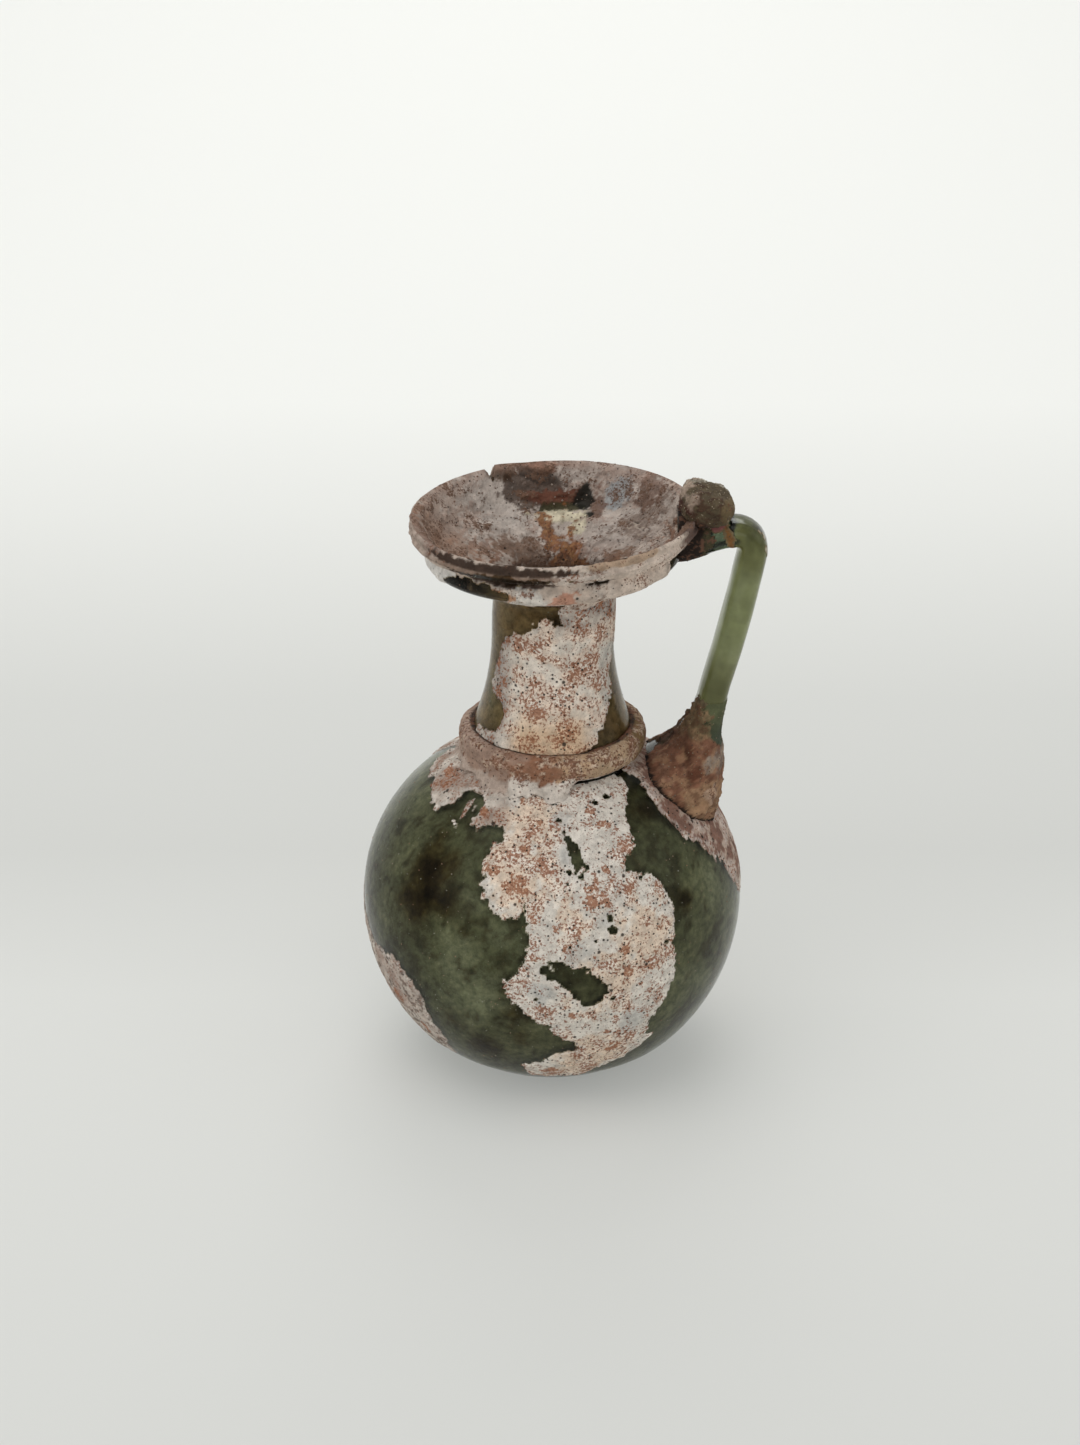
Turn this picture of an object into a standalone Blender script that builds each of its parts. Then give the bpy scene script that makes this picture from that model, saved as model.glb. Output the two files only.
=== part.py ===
"""Small globular jug of blown green glass, metres, +Z up, standing on the centre of its flat base.

One fused piece of glass: the blown bubble (belly, neck and folded bowl mouth), a thick thread of
glass wound round the foot of the neck, and a strap handle drawn from a pad on the shoulder up to
the mouth, where its end is folded into a thumb rest. The handle lies towards +X.
"""

import math

import bmesh
import bpy

# Belly: two half ellipses that meet at its widest height, cut flat below.
BELLY_RADIUS = 0.0470
BELLY_HEIGHT = 0.0420
SHOULDER_RISE = 0.0423
BELLY_DROP = 0.0485
FOOT_TUCK = 0.0025
FOOT_ROUNDING = 0.0030
BELLY_WALL = 0.0024
FLOOR_THICKNESS = 0.0040
FLOOR_ROUNDING = 0.0060

# Neck: a tube that narrows upwards from a wide foot inside the collar.
NECK_RADIUS = 0.0147
NECK_FLARE = 0.0046
NECK_FLARE_HEIGHT = 0.0240
NECK_FOOT_HEIGHT = 0.0880
NECK_LENGTH = 0.0370
NECK_WALL = 0.0026

# Collar: a thick thread wound once round the foot of the neck.
COLLAR_RADIUS = 0.0200
COLLAR_THICKNESS = 0.0056
COLLAR_DEPTH = 0.0068
COLLAR_DROP = 0.0031

# Mouth: a wide bowl under a folded lip, slightly oval, which leans up towards the handle.
BOWL_RADIUS = 0.0308
BOWL_SLOPE = math.radians(22.5)
BOWL_EDGE_ROUNDING = 0.0018
BOWL_INNER_ROUNDING = 0.0120
THROAT_ROUNDING = 0.0020
BOWL_WALL = 0.0026
GROOVE_RADIUS = 0.0303
GROOVE_RISE = 0.0046
LIP_RADIUS = 0.0344
LIP_RISE = 0.0063
LIP_THICKNESS = 0.0020
LIP_FLARE = math.radians(50.0)
MOUTH_TILT = 0.031
MOUTH_OVAL = 0.006
MOUTH_OFFSET = 0.0003
LEAN_LENGTH = 0.0140

# Chip in the back left of the lip.
CHIP_AZIMUTH = math.radians(118.0)
CHIP_WIDTH = 0.0024
CHIP_DEPTH = 0.0030

# Handle: pad on the shoulder, leaning shaft, tight bend, level run to the lip.
STRAP_THICKNESS = 0.0071
STRAP_WIDTH = 0.0105
RUN_THICKNESS = 0.0068
STRAP_SQUARENESS = 2.6
SHAFT_FOOT_INSET = 0.0069
SHAFT_FOOT_RISE = 0.0108
SHAFT_BOW = 0.0004
RUN_LENGTH = 0.0089
RUN_DROP = 0.0058
RUN_SWELL = 0.0050
RUN_SAG = 0.0008
BEND_RADIUS = 0.0042

# Thumb rest: the folded end of the strap, standing on the lip.
FOLD_LENGTH = 0.0126
FOLD_WIDTH = 0.0140
FOLD_HEIGHT = 0.0092
FOLD_OVERHANG = 0.0022
FOLD_RISE = 0.0013
FOLD_DIP = math.radians(12.0)
FOLD_SQUARENESS = 2.6

# Fineness of the facets.
BELLY_SIDES = 54
CAVITY_SIDES = 36
STRAP_SIDES = 18
BEND_STEPS = 7

# Pad: how far the strap has spread at each drop below the shaft's foot, as (drop, towards the
# neck, away from the neck, to each side). It ends inside the shoulder.
PAD_STATIONS = (
    (0.0045, 0.0000, 0.0000, 0.0004),
    (0.0090, 0.0007, 0.0002, 0.0010),
    (0.0125, 0.0018, 0.0006, 0.0020),
    (0.0155, 0.0034, 0.0013, 0.0034),
    (0.0180, 0.0058, 0.0021, 0.0050),
    (0.0205, 0.0092, 0.0028, 0.0068),
    (0.0240, 0.0128, 0.0036, 0.0084),
    (0.0290, 0.0145, 0.0042, 0.0095),
    (0.0350, 0.0145, 0.0036, 0.0090),
)

NECK_TOP = NECK_FOOT_HEIGHT + NECK_LENGTH
BOWL_EDGE_HEIGHT = NECK_TOP + (BOWL_RADIUS - NECK_RADIUS) * math.tan(BOWL_SLOPE)
GROOVE_HEIGHT = BOWL_EDGE_HEIGHT + GROOVE_RISE
LIP_TOP = GROOVE_HEIGHT + LIP_RISE


def clear_scene():
    for thing in list(bpy.data.objects):
        bpy.data.objects.remove(thing, do_unlink=True)


def weathered_glass():
    """Bottle-green glass, mostly under a pale pinkish crust of weathering."""
    material = bpy.data.materials.new("weathered_green_glass")
    material.use_nodes = True
    shader = material.node_tree.nodes["Principled BSDF"]
    shader.inputs["Base Color"].default_value = (0.075, 0.095, 0.045, 1.0)
    shader.inputs["Roughness"].default_value = 0.35
    shader.inputs["Metallic"].default_value = 0.0
    shader.inputs["IOR"].default_value = 1.52
    return material


def new_object(name, mesh_builder):
    mesh = bpy.data.meshes.new(name)
    bmesh.ops.recalc_face_normals(mesh_builder, faces=mesh_builder.faces)
    mesh_builder.to_mesh(mesh)
    mesh_builder.free()
    thing = bpy.data.objects.new(name, mesh)
    bpy.context.collection.objects.link(thing)
    return thing


def as_guide(thing):
    """A solid that only shapes the jug, and is no piece of its own."""
    thing.hide_render = True
    thing.display_type = "WIRE"
    return thing


def combine(target, guide, operation):
    modifier = target.modifiers.new(guide.name, "BOOLEAN")
    modifier.operation = operation
    modifier.solver = "EXACT"
    modifier.object = guide


def spun(profile, sides):
    """Spins (radius, height) points round the jug's axis into one closed solid."""
    builder = bmesh.new()
    points = [builder.verts.new((radius, 0.0, height)) for radius, height in profile]
    edges = [builder.edges.new(pair) for pair in zip(points, points[1:])]
    bmesh.ops.spin(
        builder, geom=points + edges, cent=(0.0, 0.0, 0.0), axis=(0.0, 0.0, 1.0),
        angle=math.tau, steps=sides,
    )
    bmesh.ops.remove_doubles(builder, verts=builder.verts, dist=1e-6)
    return builder


def ease(share):
    share = min(max(share, 0.0), 1.0)
    return share * share * (3.0 - 2.0 * share)


def lean_mouth(builder):
    """Tilts, shifts and slightly flattens the mouth, from the upper part of the neck on."""
    lean_start = NECK_TOP - LEAN_LENGTH
    for point in builder.verts:
        share = ease((point.co.z - lean_start) / LEAN_LENGTH)
        point.co.z += share * MOUTH_TILT * point.co.x
        point.co.x *= 1.0 + share * MOUTH_OVAL
        point.co.y *= 1.0 - share * MOUTH_OVAL
        point.co.x += share * MOUTH_OFFSET


def lip_height(x):
    """The height of the leaning lip's crest above a place on the x axis."""
    return LIP_TOP + MOUTH_TILT * x


def belly_radius(height, inset=0.0):
    """The belly's radius at a height, or the radius a wall's thickness inside it."""
    rise = SHOULDER_RISE if height > BELLY_HEIGHT else BELLY_DROP
    share = (height - BELLY_HEIGHT) / (rise - inset)
    return (BELLY_RADIUS - inset) * math.sqrt(max(0.0, 1.0 - share * share))


def shoulder_height(radius, inset=0.0):
    """The height at which the shoulder has narrowed to a radius."""
    share = radius / (BELLY_RADIUS - inset)
    return BELLY_HEIGHT + (SHOULDER_RISE - inset) * math.sqrt(max(0.0, 1.0 - share * share))


def belly_profile(low, rounding, tuck, top_radius, inset, steps):
    """Belly points from the rounded edge at its low end up to a radius on the shoulder."""
    points = []
    for step in range(4):
        height = low + rounding * step / 4
        points.append((belly_radius(height, inset) - tuck * (1.0 - step / 4) ** 2, height))
    first = (low + rounding - BELLY_HEIGHT) / (BELLY_DROP - inset)
    last = (shoulder_height(top_radius, inset) - BELLY_HEIGHT) / (SHOULDER_RISE - inset)
    start, end = math.asin(first), math.asin(last)
    for step in range(steps + 1):
        turn = start + (end - start) * step / steps
        rise = (SHOULDER_RISE if turn > 0.0 else BELLY_DROP) - inset
        points.append(((BELLY_RADIUS - inset) * math.cos(turn), BELLY_HEIGHT + rise * math.sin(turn)))
    return points


def neck_profile(inset, steps):
    """Neck points from its foot up to the end of its flare."""
    points = []
    for step in range(steps + 1):
        height = NECK_FOOT_HEIGHT + NECK_FLARE_HEIGHT * step / steps
        share = 1.0 - step / steps
        points.append((NECK_RADIUS - inset + NECK_FLARE * share ** 2, height))
    return points


def rounded_corner(before, corner, after, radius, steps):
    """Points of the arc that rounds the corner between two straight stretches of a profile."""
    into = math.atan2(corner[1] - before[1], corner[0] - before[0])
    away = math.atan2(after[1] - corner[1], after[0] - corner[0])
    bend = away - into
    reach = radius * math.tan(abs(bend) / 2)
    side = math.copysign(1.0, bend)
    x = corner[0] - reach * math.cos(into) - side * radius * math.sin(into)
    z = corner[1] - reach * math.sin(into) + side * radius * math.cos(into)
    turns = [into + bend * step / steps for step in range(steps + 1)]
    return [(x + side * radius * math.sin(turn), z - side * radius * math.cos(turn)) for turn in turns]


def bowl_outside():
    """From the top of the neck out under the bowl and up its short upright side."""
    below = (NECK_RADIUS, NECK_FOOT_HEIGHT)
    throat = (NECK_RADIUS, NECK_TOP)
    edge = (BOWL_RADIUS, BOWL_EDGE_HEIGHT)
    above = (BOWL_RADIUS, GROOVE_HEIGHT)
    points = rounded_corner(below, throat, edge, THROAT_ROUNDING, 3)
    points += rounded_corner(throat, edge, above, BOWL_EDGE_ROUNDING, 3)
    return points


def bowl_inside():
    """From the throat up the dished inside of the bowl to the lip's inner edge."""
    slope, flare = math.tan(BOWL_SLOPE), math.tan(LIP_FLARE)
    lip_edge = (LIP_RADIUS - LIP_THICKNESS, LIP_TOP - LIP_THICKNESS / 2)
    throat_x = NECK_RADIUS - NECK_WALL
    throat = (throat_x, NECK_TOP + BOWL_WALL / math.cos(BOWL_SLOPE) - NECK_WALL * slope)
    meet_x = (throat[1] - throat_x * slope - lip_edge[1] + lip_edge[0] * flare) / (flare - slope)
    meet = (meet_x, throat[1] + (meet_x - throat_x) * slope)
    points = rounded_corner((throat_x, NECK_FOOT_HEIGHT), throat, meet, THROAT_ROUNDING + NECK_WALL, 4)
    points += rounded_corner(throat, meet, lip_edge, BOWL_INNER_ROUNDING, 4)
    points.append(lip_edge)
    return points


def jug_blank():
    """The outside of the bubble as a solid, filled up to the lip."""
    base_edge = belly_profile(0.0, FOOT_ROUNDING, FOOT_TUCK, COLLAR_RADIUS, 0.0, 18)
    profile = [(0.0, 0.0)] + base_edge + neck_profile(0.0, 6) + bowl_outside()
    crest = LIP_RADIUS - LIP_THICKNESS / 2
    profile += [
        (BOWL_RADIUS, GROOVE_HEIGHT - GROOVE_RISE * 0.35),
        (GROOVE_RADIUS, GROOVE_HEIGHT),
        (LIP_RADIUS - LIP_THICKNESS * 0.55, GROOVE_HEIGHT + LIP_RISE * 0.26),
        (LIP_RADIUS - LIP_THICKNESS * 0.12, GROOVE_HEIGHT + LIP_RISE * 0.45),
        (LIP_RADIUS - LIP_THICKNESS * 0.16, GROOVE_HEIGHT + LIP_RISE * 0.60),
        (LIP_RADIUS, GROOVE_HEIGHT + LIP_RISE * 0.78),
        (LIP_RADIUS - LIP_THICKNESS * 0.15, GROOVE_HEIGHT + LIP_RISE * 0.92),
        (crest, LIP_TOP),
        (0.0, LIP_TOP),
    ]
    builder = spun(profile, BELLY_SIDES)
    lean_mouth(builder)
    return new_object("jug", builder)


def cavity():
    """The inside of belly, neck and bowl, standing out above the lip."""
    floor_edge = belly_profile(
        FLOOR_THICKNESS, FLOOR_ROUNDING, FLOOR_ROUNDING, NECK_RADIUS + NECK_FLARE - NECK_WALL,
        BELLY_WALL, 15,
    )
    profile = [(0.0, FLOOR_THICKNESS)] + floor_edge + neck_profile(NECK_WALL, 5) + bowl_inside()
    fold_inside = LIP_RADIUS + FOLD_OVERHANG - FOLD_LENGTH / 2
    clear_above = FOLD_HEIGHT + FOLD_RISE
    profile += [
        (LIP_RADIUS - LIP_THICKNESS * 0.6, LIP_TOP),
        (fold_inside, LIP_TOP + LIP_THICKNESS),
        (fold_inside, LIP_TOP + clear_above),
        (0.0, LIP_TOP + clear_above),
    ]
    builder = spun(profile, CAVITY_SIDES)
    lean_mouth(builder)
    return as_guide(new_object("cavity", builder))


def collar():
    """A ring of oval section where the neck meets the shoulder."""
    height = NECK_FOOT_HEIGHT - COLLAR_DROP
    ring = []
    for step in range(11):
        turn = math.tau * step / 10
        radius = COLLAR_RADIUS + COLLAR_THICKNESS / 2 * math.cos(turn)
        ring.append((radius, height + COLLAR_DEPTH / 2 * math.sin(turn)))
    return as_guide(new_object("collar", spun(ring, BELLY_SIDES - 2)))


def strap_section(builder, centre, turn, thickness, width):
    """One rounded cross-section of the strap; turn is its lean from upright, towards +X."""
    ring = []
    for step in range(STRAP_SIDES):
        angle = math.tau * step / STRAP_SIDES
        across, aside = math.cos(angle), math.sin(angle)
        reach = (abs(across) ** STRAP_SQUARENESS + abs(aside) ** STRAP_SQUARENESS) ** (-1.0 / STRAP_SQUARENESS)
        out = thickness / 2 * across * reach
        ring.append(builder.verts.new((
            centre[0] + out * math.cos(turn),
            width / 2 * aside * reach,
            centre[1] - out * math.sin(turn),
        )))
    return ring


def handle():
    """Pad, shaft, bend and level run as one lofted strap, from inside the shoulder to inside the lip."""
    run_height = lip_height(LIP_RADIUS) - RUN_DROP
    bend_x = LIP_RADIUS + RUN_LENGTH
    bend_z = run_height - BEND_RADIUS
    foot_x = BELLY_RADIUS - SHAFT_FOOT_INSET
    foot_z = NECK_FOOT_HEIGHT + SHAFT_FOOT_RISE
    lean = math.atan2(bend_x + BEND_RADIUS - foot_x, bend_z - foot_z)
    top_x = bend_x + BEND_RADIUS * math.cos(lean)
    top_z = bend_z - BEND_RADIUS * math.sin(lean)

    builder = bmesh.new()
    rings = []
    for drop, inward, outward, aside in reversed(PAD_STATIONS):
        centre = (foot_x - drop * math.tan(lean) + (outward - inward) / 2, foot_z - drop)
        spread = STRAP_THICKNESS + inward + outward
        rings.append(strap_section(builder, centre, 0.0, spread, STRAP_WIDTH + 2 * aside))
    shaft_steps = 5
    for step in range(shaft_steps):
        share = step / shaft_steps
        bow = SHAFT_BOW * math.sin(math.pi * share)
        centre = (foot_x + (top_x - foot_x) * share + bow, foot_z + (top_z - foot_z) * share)
        rings.append(strap_section(builder, centre, lean * ease(share * 2), STRAP_THICKNESS, STRAP_WIDTH))
    for step in range(BEND_STEPS + 1):
        turn = lean - (lean + math.pi / 2) * step / BEND_STEPS
        centre = (bend_x + BEND_RADIUS * math.cos(turn), bend_z - BEND_RADIUS * math.sin(turn))
        thickness = STRAP_THICKNESS + (RUN_THICKNESS - STRAP_THICKNESS) * step / BEND_STEPS
        rings.append(strap_section(builder, centre, turn, thickness, STRAP_WIDTH))
    run_steps = 4
    run_reach = RUN_LENGTH + LIP_THICKNESS * 2.5
    for step in range(1, run_steps + 1):
        share = step / run_steps
        swell = RUN_SWELL * ease(share)
        centre = (bend_x - run_reach * share, run_height - RUN_SAG * ease(share))
        rings.append(strap_section(
            builder, centre, -math.pi / 2, RUN_THICKNESS + swell, STRAP_WIDTH + swell))
    for lower, upper in zip(rings, rings[1:]):
        for side in range(STRAP_SIDES):
            after = (side + 1) % STRAP_SIDES
            builder.faces.new((lower[side], lower[after], upper[after], upper[side]))
    builder.faces.new(rings[0])
    builder.faces.new(rings[-1])
    return as_guide(new_object("handle", builder))


def thumb_rest():
    """The rounded fold of the strap's end, on the lip above the level run."""
    builder = bmesh.new()
    bmesh.ops.create_uvsphere(builder, u_segments=18, v_segments=11, radius=0.5)
    centre_x = LIP_RADIUS + FOLD_OVERHANG
    centre_z = lip_height(LIP_RADIUS) + FOLD_RISE
    for point in builder.verts:
        reach = sum(abs(2 * place) ** FOLD_SQUARENESS for place in point.co) ** (-1.0 / FOLD_SQUARENESS)
        along = FOLD_LENGTH * reach * point.co.x
        above = FOLD_HEIGHT * reach * point.co.z
        point.co.x = centre_x + along * math.cos(FOLD_DIP) + above * math.sin(FOLD_DIP)
        point.co.y = FOLD_WIDTH * reach * point.co.y
        point.co.z = centre_z - along * math.sin(FOLD_DIP) + above * math.cos(FOLD_DIP)
    return as_guide(new_object("thumb_rest", builder))


def chip():
    """A wedge that cuts the small notch out of the lip."""
    builder = bmesh.new()
    height = LIP_TOP + MOUTH_TILT * LIP_RADIUS * math.cos(CHIP_AZIMUTH)
    near, far = LIP_RADIUS - 3 * LIP_THICKNESS, LIP_RADIUS + 2 * LIP_THICKNESS
    corners = (
        (-CHIP_WIDTH / 2, height + CHIP_DEPTH),
        (CHIP_WIDTH * 0.8, height + CHIP_DEPTH),
        (CHIP_WIDTH / 2, height),
        (CHIP_WIDTH * 0.1, height - CHIP_DEPTH),
        (-CHIP_WIDTH * 0.1, height - CHIP_DEPTH),
    )
    ends = []
    for reach in (near, far):
        ends.append([builder.verts.new((
            reach * math.cos(CHIP_AZIMUTH) - aside * math.sin(CHIP_AZIMUTH),
            reach * math.sin(CHIP_AZIMUTH) + aside * math.cos(CHIP_AZIMUTH),
            level,
        )) for aside, level in corners])
    inner, outer = ends
    for side in range(len(corners)):
        after = (side + 1) % len(corners)
        builder.faces.new((inner[side], inner[after], outer[after], outer[side]))
    builder.faces.new(inner)
    builder.faces.new(outer)
    return as_guide(new_object("chip", builder))


def build_jug():
    jug = jug_blank()
    jug.data.materials.append(weathered_glass())
    for guide in (collar(), handle(), thumb_rest()):
        combine(jug, guide, "UNION")
    for guide in (chip(), cavity()):
        combine(jug, guide, "DIFFERENCE")
    jug.data.shade_smooth()
    jug.data.set_sharp_from_angle(angle=math.radians(40.0))


clear_scene()
build_jug()
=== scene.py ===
"""Small ancient jug of blown green glass, half under a weathering crust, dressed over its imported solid.

Sizes are in millimetres and angles in degrees. A place on the round body is given by its azimuth,
which is 0 at the front (-Y) and grows towards the handle (+X), and by its height or its climb, the
distance up the belly's curve from the middle of the foot's edge.
"""

import math

import bpy
import numpy as np
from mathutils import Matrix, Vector, noise


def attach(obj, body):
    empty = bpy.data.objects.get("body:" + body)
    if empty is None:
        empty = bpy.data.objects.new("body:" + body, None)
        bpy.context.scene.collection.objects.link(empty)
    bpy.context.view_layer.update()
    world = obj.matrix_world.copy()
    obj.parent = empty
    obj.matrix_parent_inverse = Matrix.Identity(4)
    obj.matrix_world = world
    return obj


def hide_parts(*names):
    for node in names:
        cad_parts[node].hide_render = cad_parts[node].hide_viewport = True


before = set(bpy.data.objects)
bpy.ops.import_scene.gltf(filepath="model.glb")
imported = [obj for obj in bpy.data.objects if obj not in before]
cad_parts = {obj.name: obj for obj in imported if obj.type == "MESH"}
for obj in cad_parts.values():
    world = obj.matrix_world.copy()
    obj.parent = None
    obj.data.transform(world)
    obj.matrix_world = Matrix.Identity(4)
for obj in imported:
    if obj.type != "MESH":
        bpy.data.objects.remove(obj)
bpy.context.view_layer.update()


# Blown bubble: belly, neck and folded bowl mouth in one wall of dark olive glass, blown on the
# pipe, cracked off and its rim folded out and down. It stands on its flattened base, and lies a
# crust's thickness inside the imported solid, because most of it is under the crust.
CRUST = 0.40
BELLY_RADIUS = 47.0
BELLY_HEIGHT = 42.0
SHOULDER_RISE = 42.3
BELLY_DROP = 48.5
FOOT_RADIUS = 21.0
FOOT_TOP = 7.0
BELLY_WALL = 2.4
FLOOR_THICKNESS = 4.0
COLLAR_RADIUS = 20.0
NECK_RADIUS = 14.7
NECK_FLARE = 4.6
NECK_FLARE_HEIGHT = 24.0
NECK_FOOT = 88.0
NECK_TOP = 125.0
NECK_WALL = 2.6
BOWL_RADIUS = 30.8
BOWL_SLOPE = math.tan(math.radians(22.5))
BOWL_EDGE = NECK_TOP + (BOWL_RADIUS - NECK_RADIUS) * BOWL_SLOPE
GROOVE = BOWL_EDGE + 4.6
LIP_RADIUS = 34.4
LIP_TOP = GROOVE + 6.3
MOUTH_TILT = 0.031
MOUTH_OVAL = 0.006
MOUTH_OFFSET = 0.3
LEAN_START = NECK_TOP - 14.0
CHIP_AZIMUTH = -152.0
CHIP_WIDTH = 2.3
CHIP_DEPTH = 3.2


def ease(share):
    """Goes smoothly from 0 to 1 as share does."""
    share = np.clip(share, 0.0, 1.0)
    return share * share * (3.0 - 2.0 * share)


def belly_radius(height):
    rise = np.where(height > BELLY_HEIGHT, SHOULDER_RISE, BELLY_DROP)
    return BELLY_RADIUS * np.sqrt(np.maximum(0.0, 1.0 - ((height - BELLY_HEIGHT) / rise) ** 2))


def neck_radius(height):
    return NECK_RADIUS + NECK_FLARE * np.maximum(0.0, 1.0 - (height - NECK_FOOT) / NECK_FLARE_HEIGHT) ** 2


def even_line(points, step):
    """The same (radius, height) line with a point at every step along it, its corners softened."""
    points = np.asarray(points, float)
    lengths = np.concatenate([[0.0], np.cumsum(np.hypot(*np.diff(points, axis=0).T))])
    places = np.linspace(0.0, lengths[-1], max(8, round(lengths[-1] / step)))
    line = np.stack([np.interp(places, lengths, points[:, side]) for side in (0, 1)], axis=1)
    for _ in range(round(0.6 / step) ** 2 // 2 + 1):
        line[1:-1] = (line[:-2] + 2.0 * line[1:-1] + line[2:]) / 4.0
    return line


def offset_line(line, distance):
    """The line moved sideways, to the right of the way that it runs."""
    along = np.gradient(line, axis=0)
    along /= np.linalg.norm(along, axis=1, keepdims=True) + 1e-9
    return line + distance * np.stack([along[:, 1], -along[:, 0]], axis=1)


def belly_line(low, high):
    heights = BELLY_HEIGHT + np.sin(np.linspace(-math.pi / 2, math.pi / 2, 400)) * 46.0
    heights = np.unique(np.clip(heights, low, high))
    return np.stack([belly_radius(heights), heights], axis=1)


def neck_line(low, high):
    heights = np.linspace(low, high, 40)
    return np.stack([neck_radius(heights), heights], axis=1)


foot_line = np.array([(FOOT_RADIUS, 0.0), (FOOT_RADIUS + 1.9, 1.0), (FOOT_RADIUS + 4.3, 2.3)])
shoulder_top = BELLY_HEIGHT + SHOULDER_RISE * math.sqrt(1.0 - (COLLAR_RADIUS / BELLY_RADIUS) ** 2)
belly_outside = np.concatenate([foot_line, belly_line(FOOT_TOP, shoulder_top)])
bowl_outside = np.array([
    (NECK_RADIUS, NECK_TOP - 2.0),
    (NECK_RADIUS + 1.5, NECK_TOP + 0.4),
    (BOWL_RADIUS - 0.9, BOWL_EDGE - 0.3),
    (BOWL_RADIUS, BOWL_EDGE + 1.0),
    (BOWL_RADIUS, GROOVE - 1.6),
    (BOWL_RADIUS - 0.6, GROOVE),
    (LIP_RADIUS - 1.3, GROOVE + 1.3),
    (LIP_RADIUS - 0.9, GROOVE + 2.3),
    (LIP_RADIUS - 0.1, GROOVE + 2.9),
    (LIP_RADIUS - 0.1, GROOVE + 3.4),
    (LIP_RADIUS - 0.9, GROOVE + 4.0),
    (LIP_RADIUS - 0.3, GROOVE + 5.2),
    (LIP_RADIUS - 0.2, GROOVE + 5.9),
    (LIP_RADIUS - 0.9, LIP_TOP),
])
throat_radius = NECK_RADIUS - NECK_WALL
bowl_inside = np.array([
    (LIP_RADIUS - 0.9, LIP_TOP),
    (LIP_RADIUS - 1.9, LIP_TOP - 0.7),
    (27.6, 134.7),
    (24.0, 132.6),
    (throat_radius + 2.2, NECK_TOP + 3.0),
    (throat_radius + 0.5, NECK_TOP + 1.2),
    (throat_radius, NECK_TOP - 1.6),
])


def lean(places):
    """Tilts, shifts and slightly flattens the mouth, from the upper part of the neck on."""
    places = places.copy()
    share = ease((places[..., 2] - LEAN_START) / (NECK_TOP - LEAN_START))
    places[..., 2] += share * MOUTH_TILT * places[..., 0]
    places[..., 0] *= 1.0 + share * MOUTH_OVAL
    places[..., 1] *= 1.0 - share * MOUTH_OVAL
    places[..., 0] += share * MOUTH_OFFSET
    return places


def spun(line, columns):
    """Spins a (radius, height) line round the axis into rows of places, from azimuth -180 on."""
    turn = np.radians(np.arange(columns) * 360.0 / columns - 180.0)
    places = np.empty((len(line), columns, 3))
    places[..., 0] = line[:, :1] * np.sin(turn)
    places[..., 1] = -line[:, :1] * np.cos(turn)
    places[..., 2] = line[:, 1:]
    return places


def azimuth_of(places):
    return np.degrees(np.arctan2(places[..., 0], -places[..., 1]))


def turned_by(azimuth, centre):
    """How many degrees an azimuth lies past a centre, from -180 to 180."""
    return (azimuth - centre + 180.0) % 360.0 - 180.0


def chipped(places):
    """Cuts the V-shaped chip out of the back left of the lip, whose left side stands a little higher."""
    places = places.copy()
    aside = turned_by(azimuth_of(places), CHIP_AZIMUTH) * math.pi / 180.0 * LIP_RADIUS
    lip = ease((places[..., 2] - GROOVE - 2.0) / 3.0) * (np.hypot(places[..., 0], places[..., 1]) > 28.0)
    places[..., 2] += 0.55 * lip * ease((aside + 0.8) / 0.6) * ease((-aside - 0.8) / 0.6)
    places[..., 2] += 0.6 * lip * (1.0 - ease((aside + 1.0) / 0.8)) * ease((aside + 11.0) / 10.0)
    bottom = LIP_TOP - CHIP_DEPTH + 2.0 * CHIP_DEPTH / CHIP_WIDTH * np.abs(aside + 0.15 * lip)
    cut = (places[..., 2] > bottom) & (lip > 0.0) & (np.abs(aside) < CHIP_WIDTH)
    places[..., 2] = np.where(cut, bottom, places[..., 2])
    return places


def facing(places):
    """The outward direction at each place of rows that run upwards and turn anticlockwise."""
    up = np.gradient(places, axis=0)
    around = (np.roll(places, -1, axis=1) - np.roll(places, 1, axis=1)) / 2.0
    outward = np.cross(around, up)
    return outward / (np.linalg.norm(outward, axis=-1, keepdims=True) + 1e-9)


def shown(name, data):
    """A new object in the scene, of a mesh, a lamp or a camera."""
    shape = bpy.data.objects.new(name, data)
    bpy.context.scene.collection.objects.link(shape)
    return shape


def new_piece(name, places, material, keep=None, tint=None, stain=None, poles=()):
    """A mesh in metres over rows of places, with only the kept quads, and a closed pole at row 0 or -1."""
    rows, columns = places.shape[:2]
    index = np.arange(rows * columns).reshape(rows, columns)
    after = np.roll(index, -1, axis=1)
    quads = np.stack([index[:-1], after[:-1], after[1:], index[1:]], axis=-1).reshape(-1, 4)
    if keep is not None:
        quads = quads[keep.reshape(-1)[quads].any(axis=1)]
    corners = places.reshape(-1, 3)
    used, renamed = np.unique(quads, return_inverse=True)
    corners = corners[used]
    faces = renamed.reshape(-1, 4).tolist()
    if keep is None:
        for pole in poles:
            ring = index[pole].tolist()
            faces.append(ring if pole else ring[::-1])
    mesh = bpy.data.meshes.new(name)
    mesh.from_pydata((corners / 1000.0).tolist(), [], faces)
    if tint is not None:
        stored = mesh.attributes.new("tint", "FLOAT_COLOR", "POINT")
        colours = np.ones((len(used), 4), np.float32)
        colours[:, :3] = tint.reshape(-1, 3)[used]
        stored.data.foreach_set("color", colours.ravel())
    if stain is not None:
        stored = mesh.attributes.new("stain", "FLOAT", "POINT")
        stored.data.foreach_set("value", stain.reshape(-1)[used].astype(np.float32))
    mesh.shade_smooth()
    mesh.materials.append(material)
    return shown(name, mesh)


def srgb(code):
    """The linear (red, green, blue) of an sRGB hex colour."""
    shares = [int(code[place:place + 2], 16) / 255.0 for place in (0, 2, 4)]
    return tuple(s / 12.92 if s <= 0.04045 else ((s + 0.055) / 1.055) ** 2.4 for s in shares)


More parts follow.
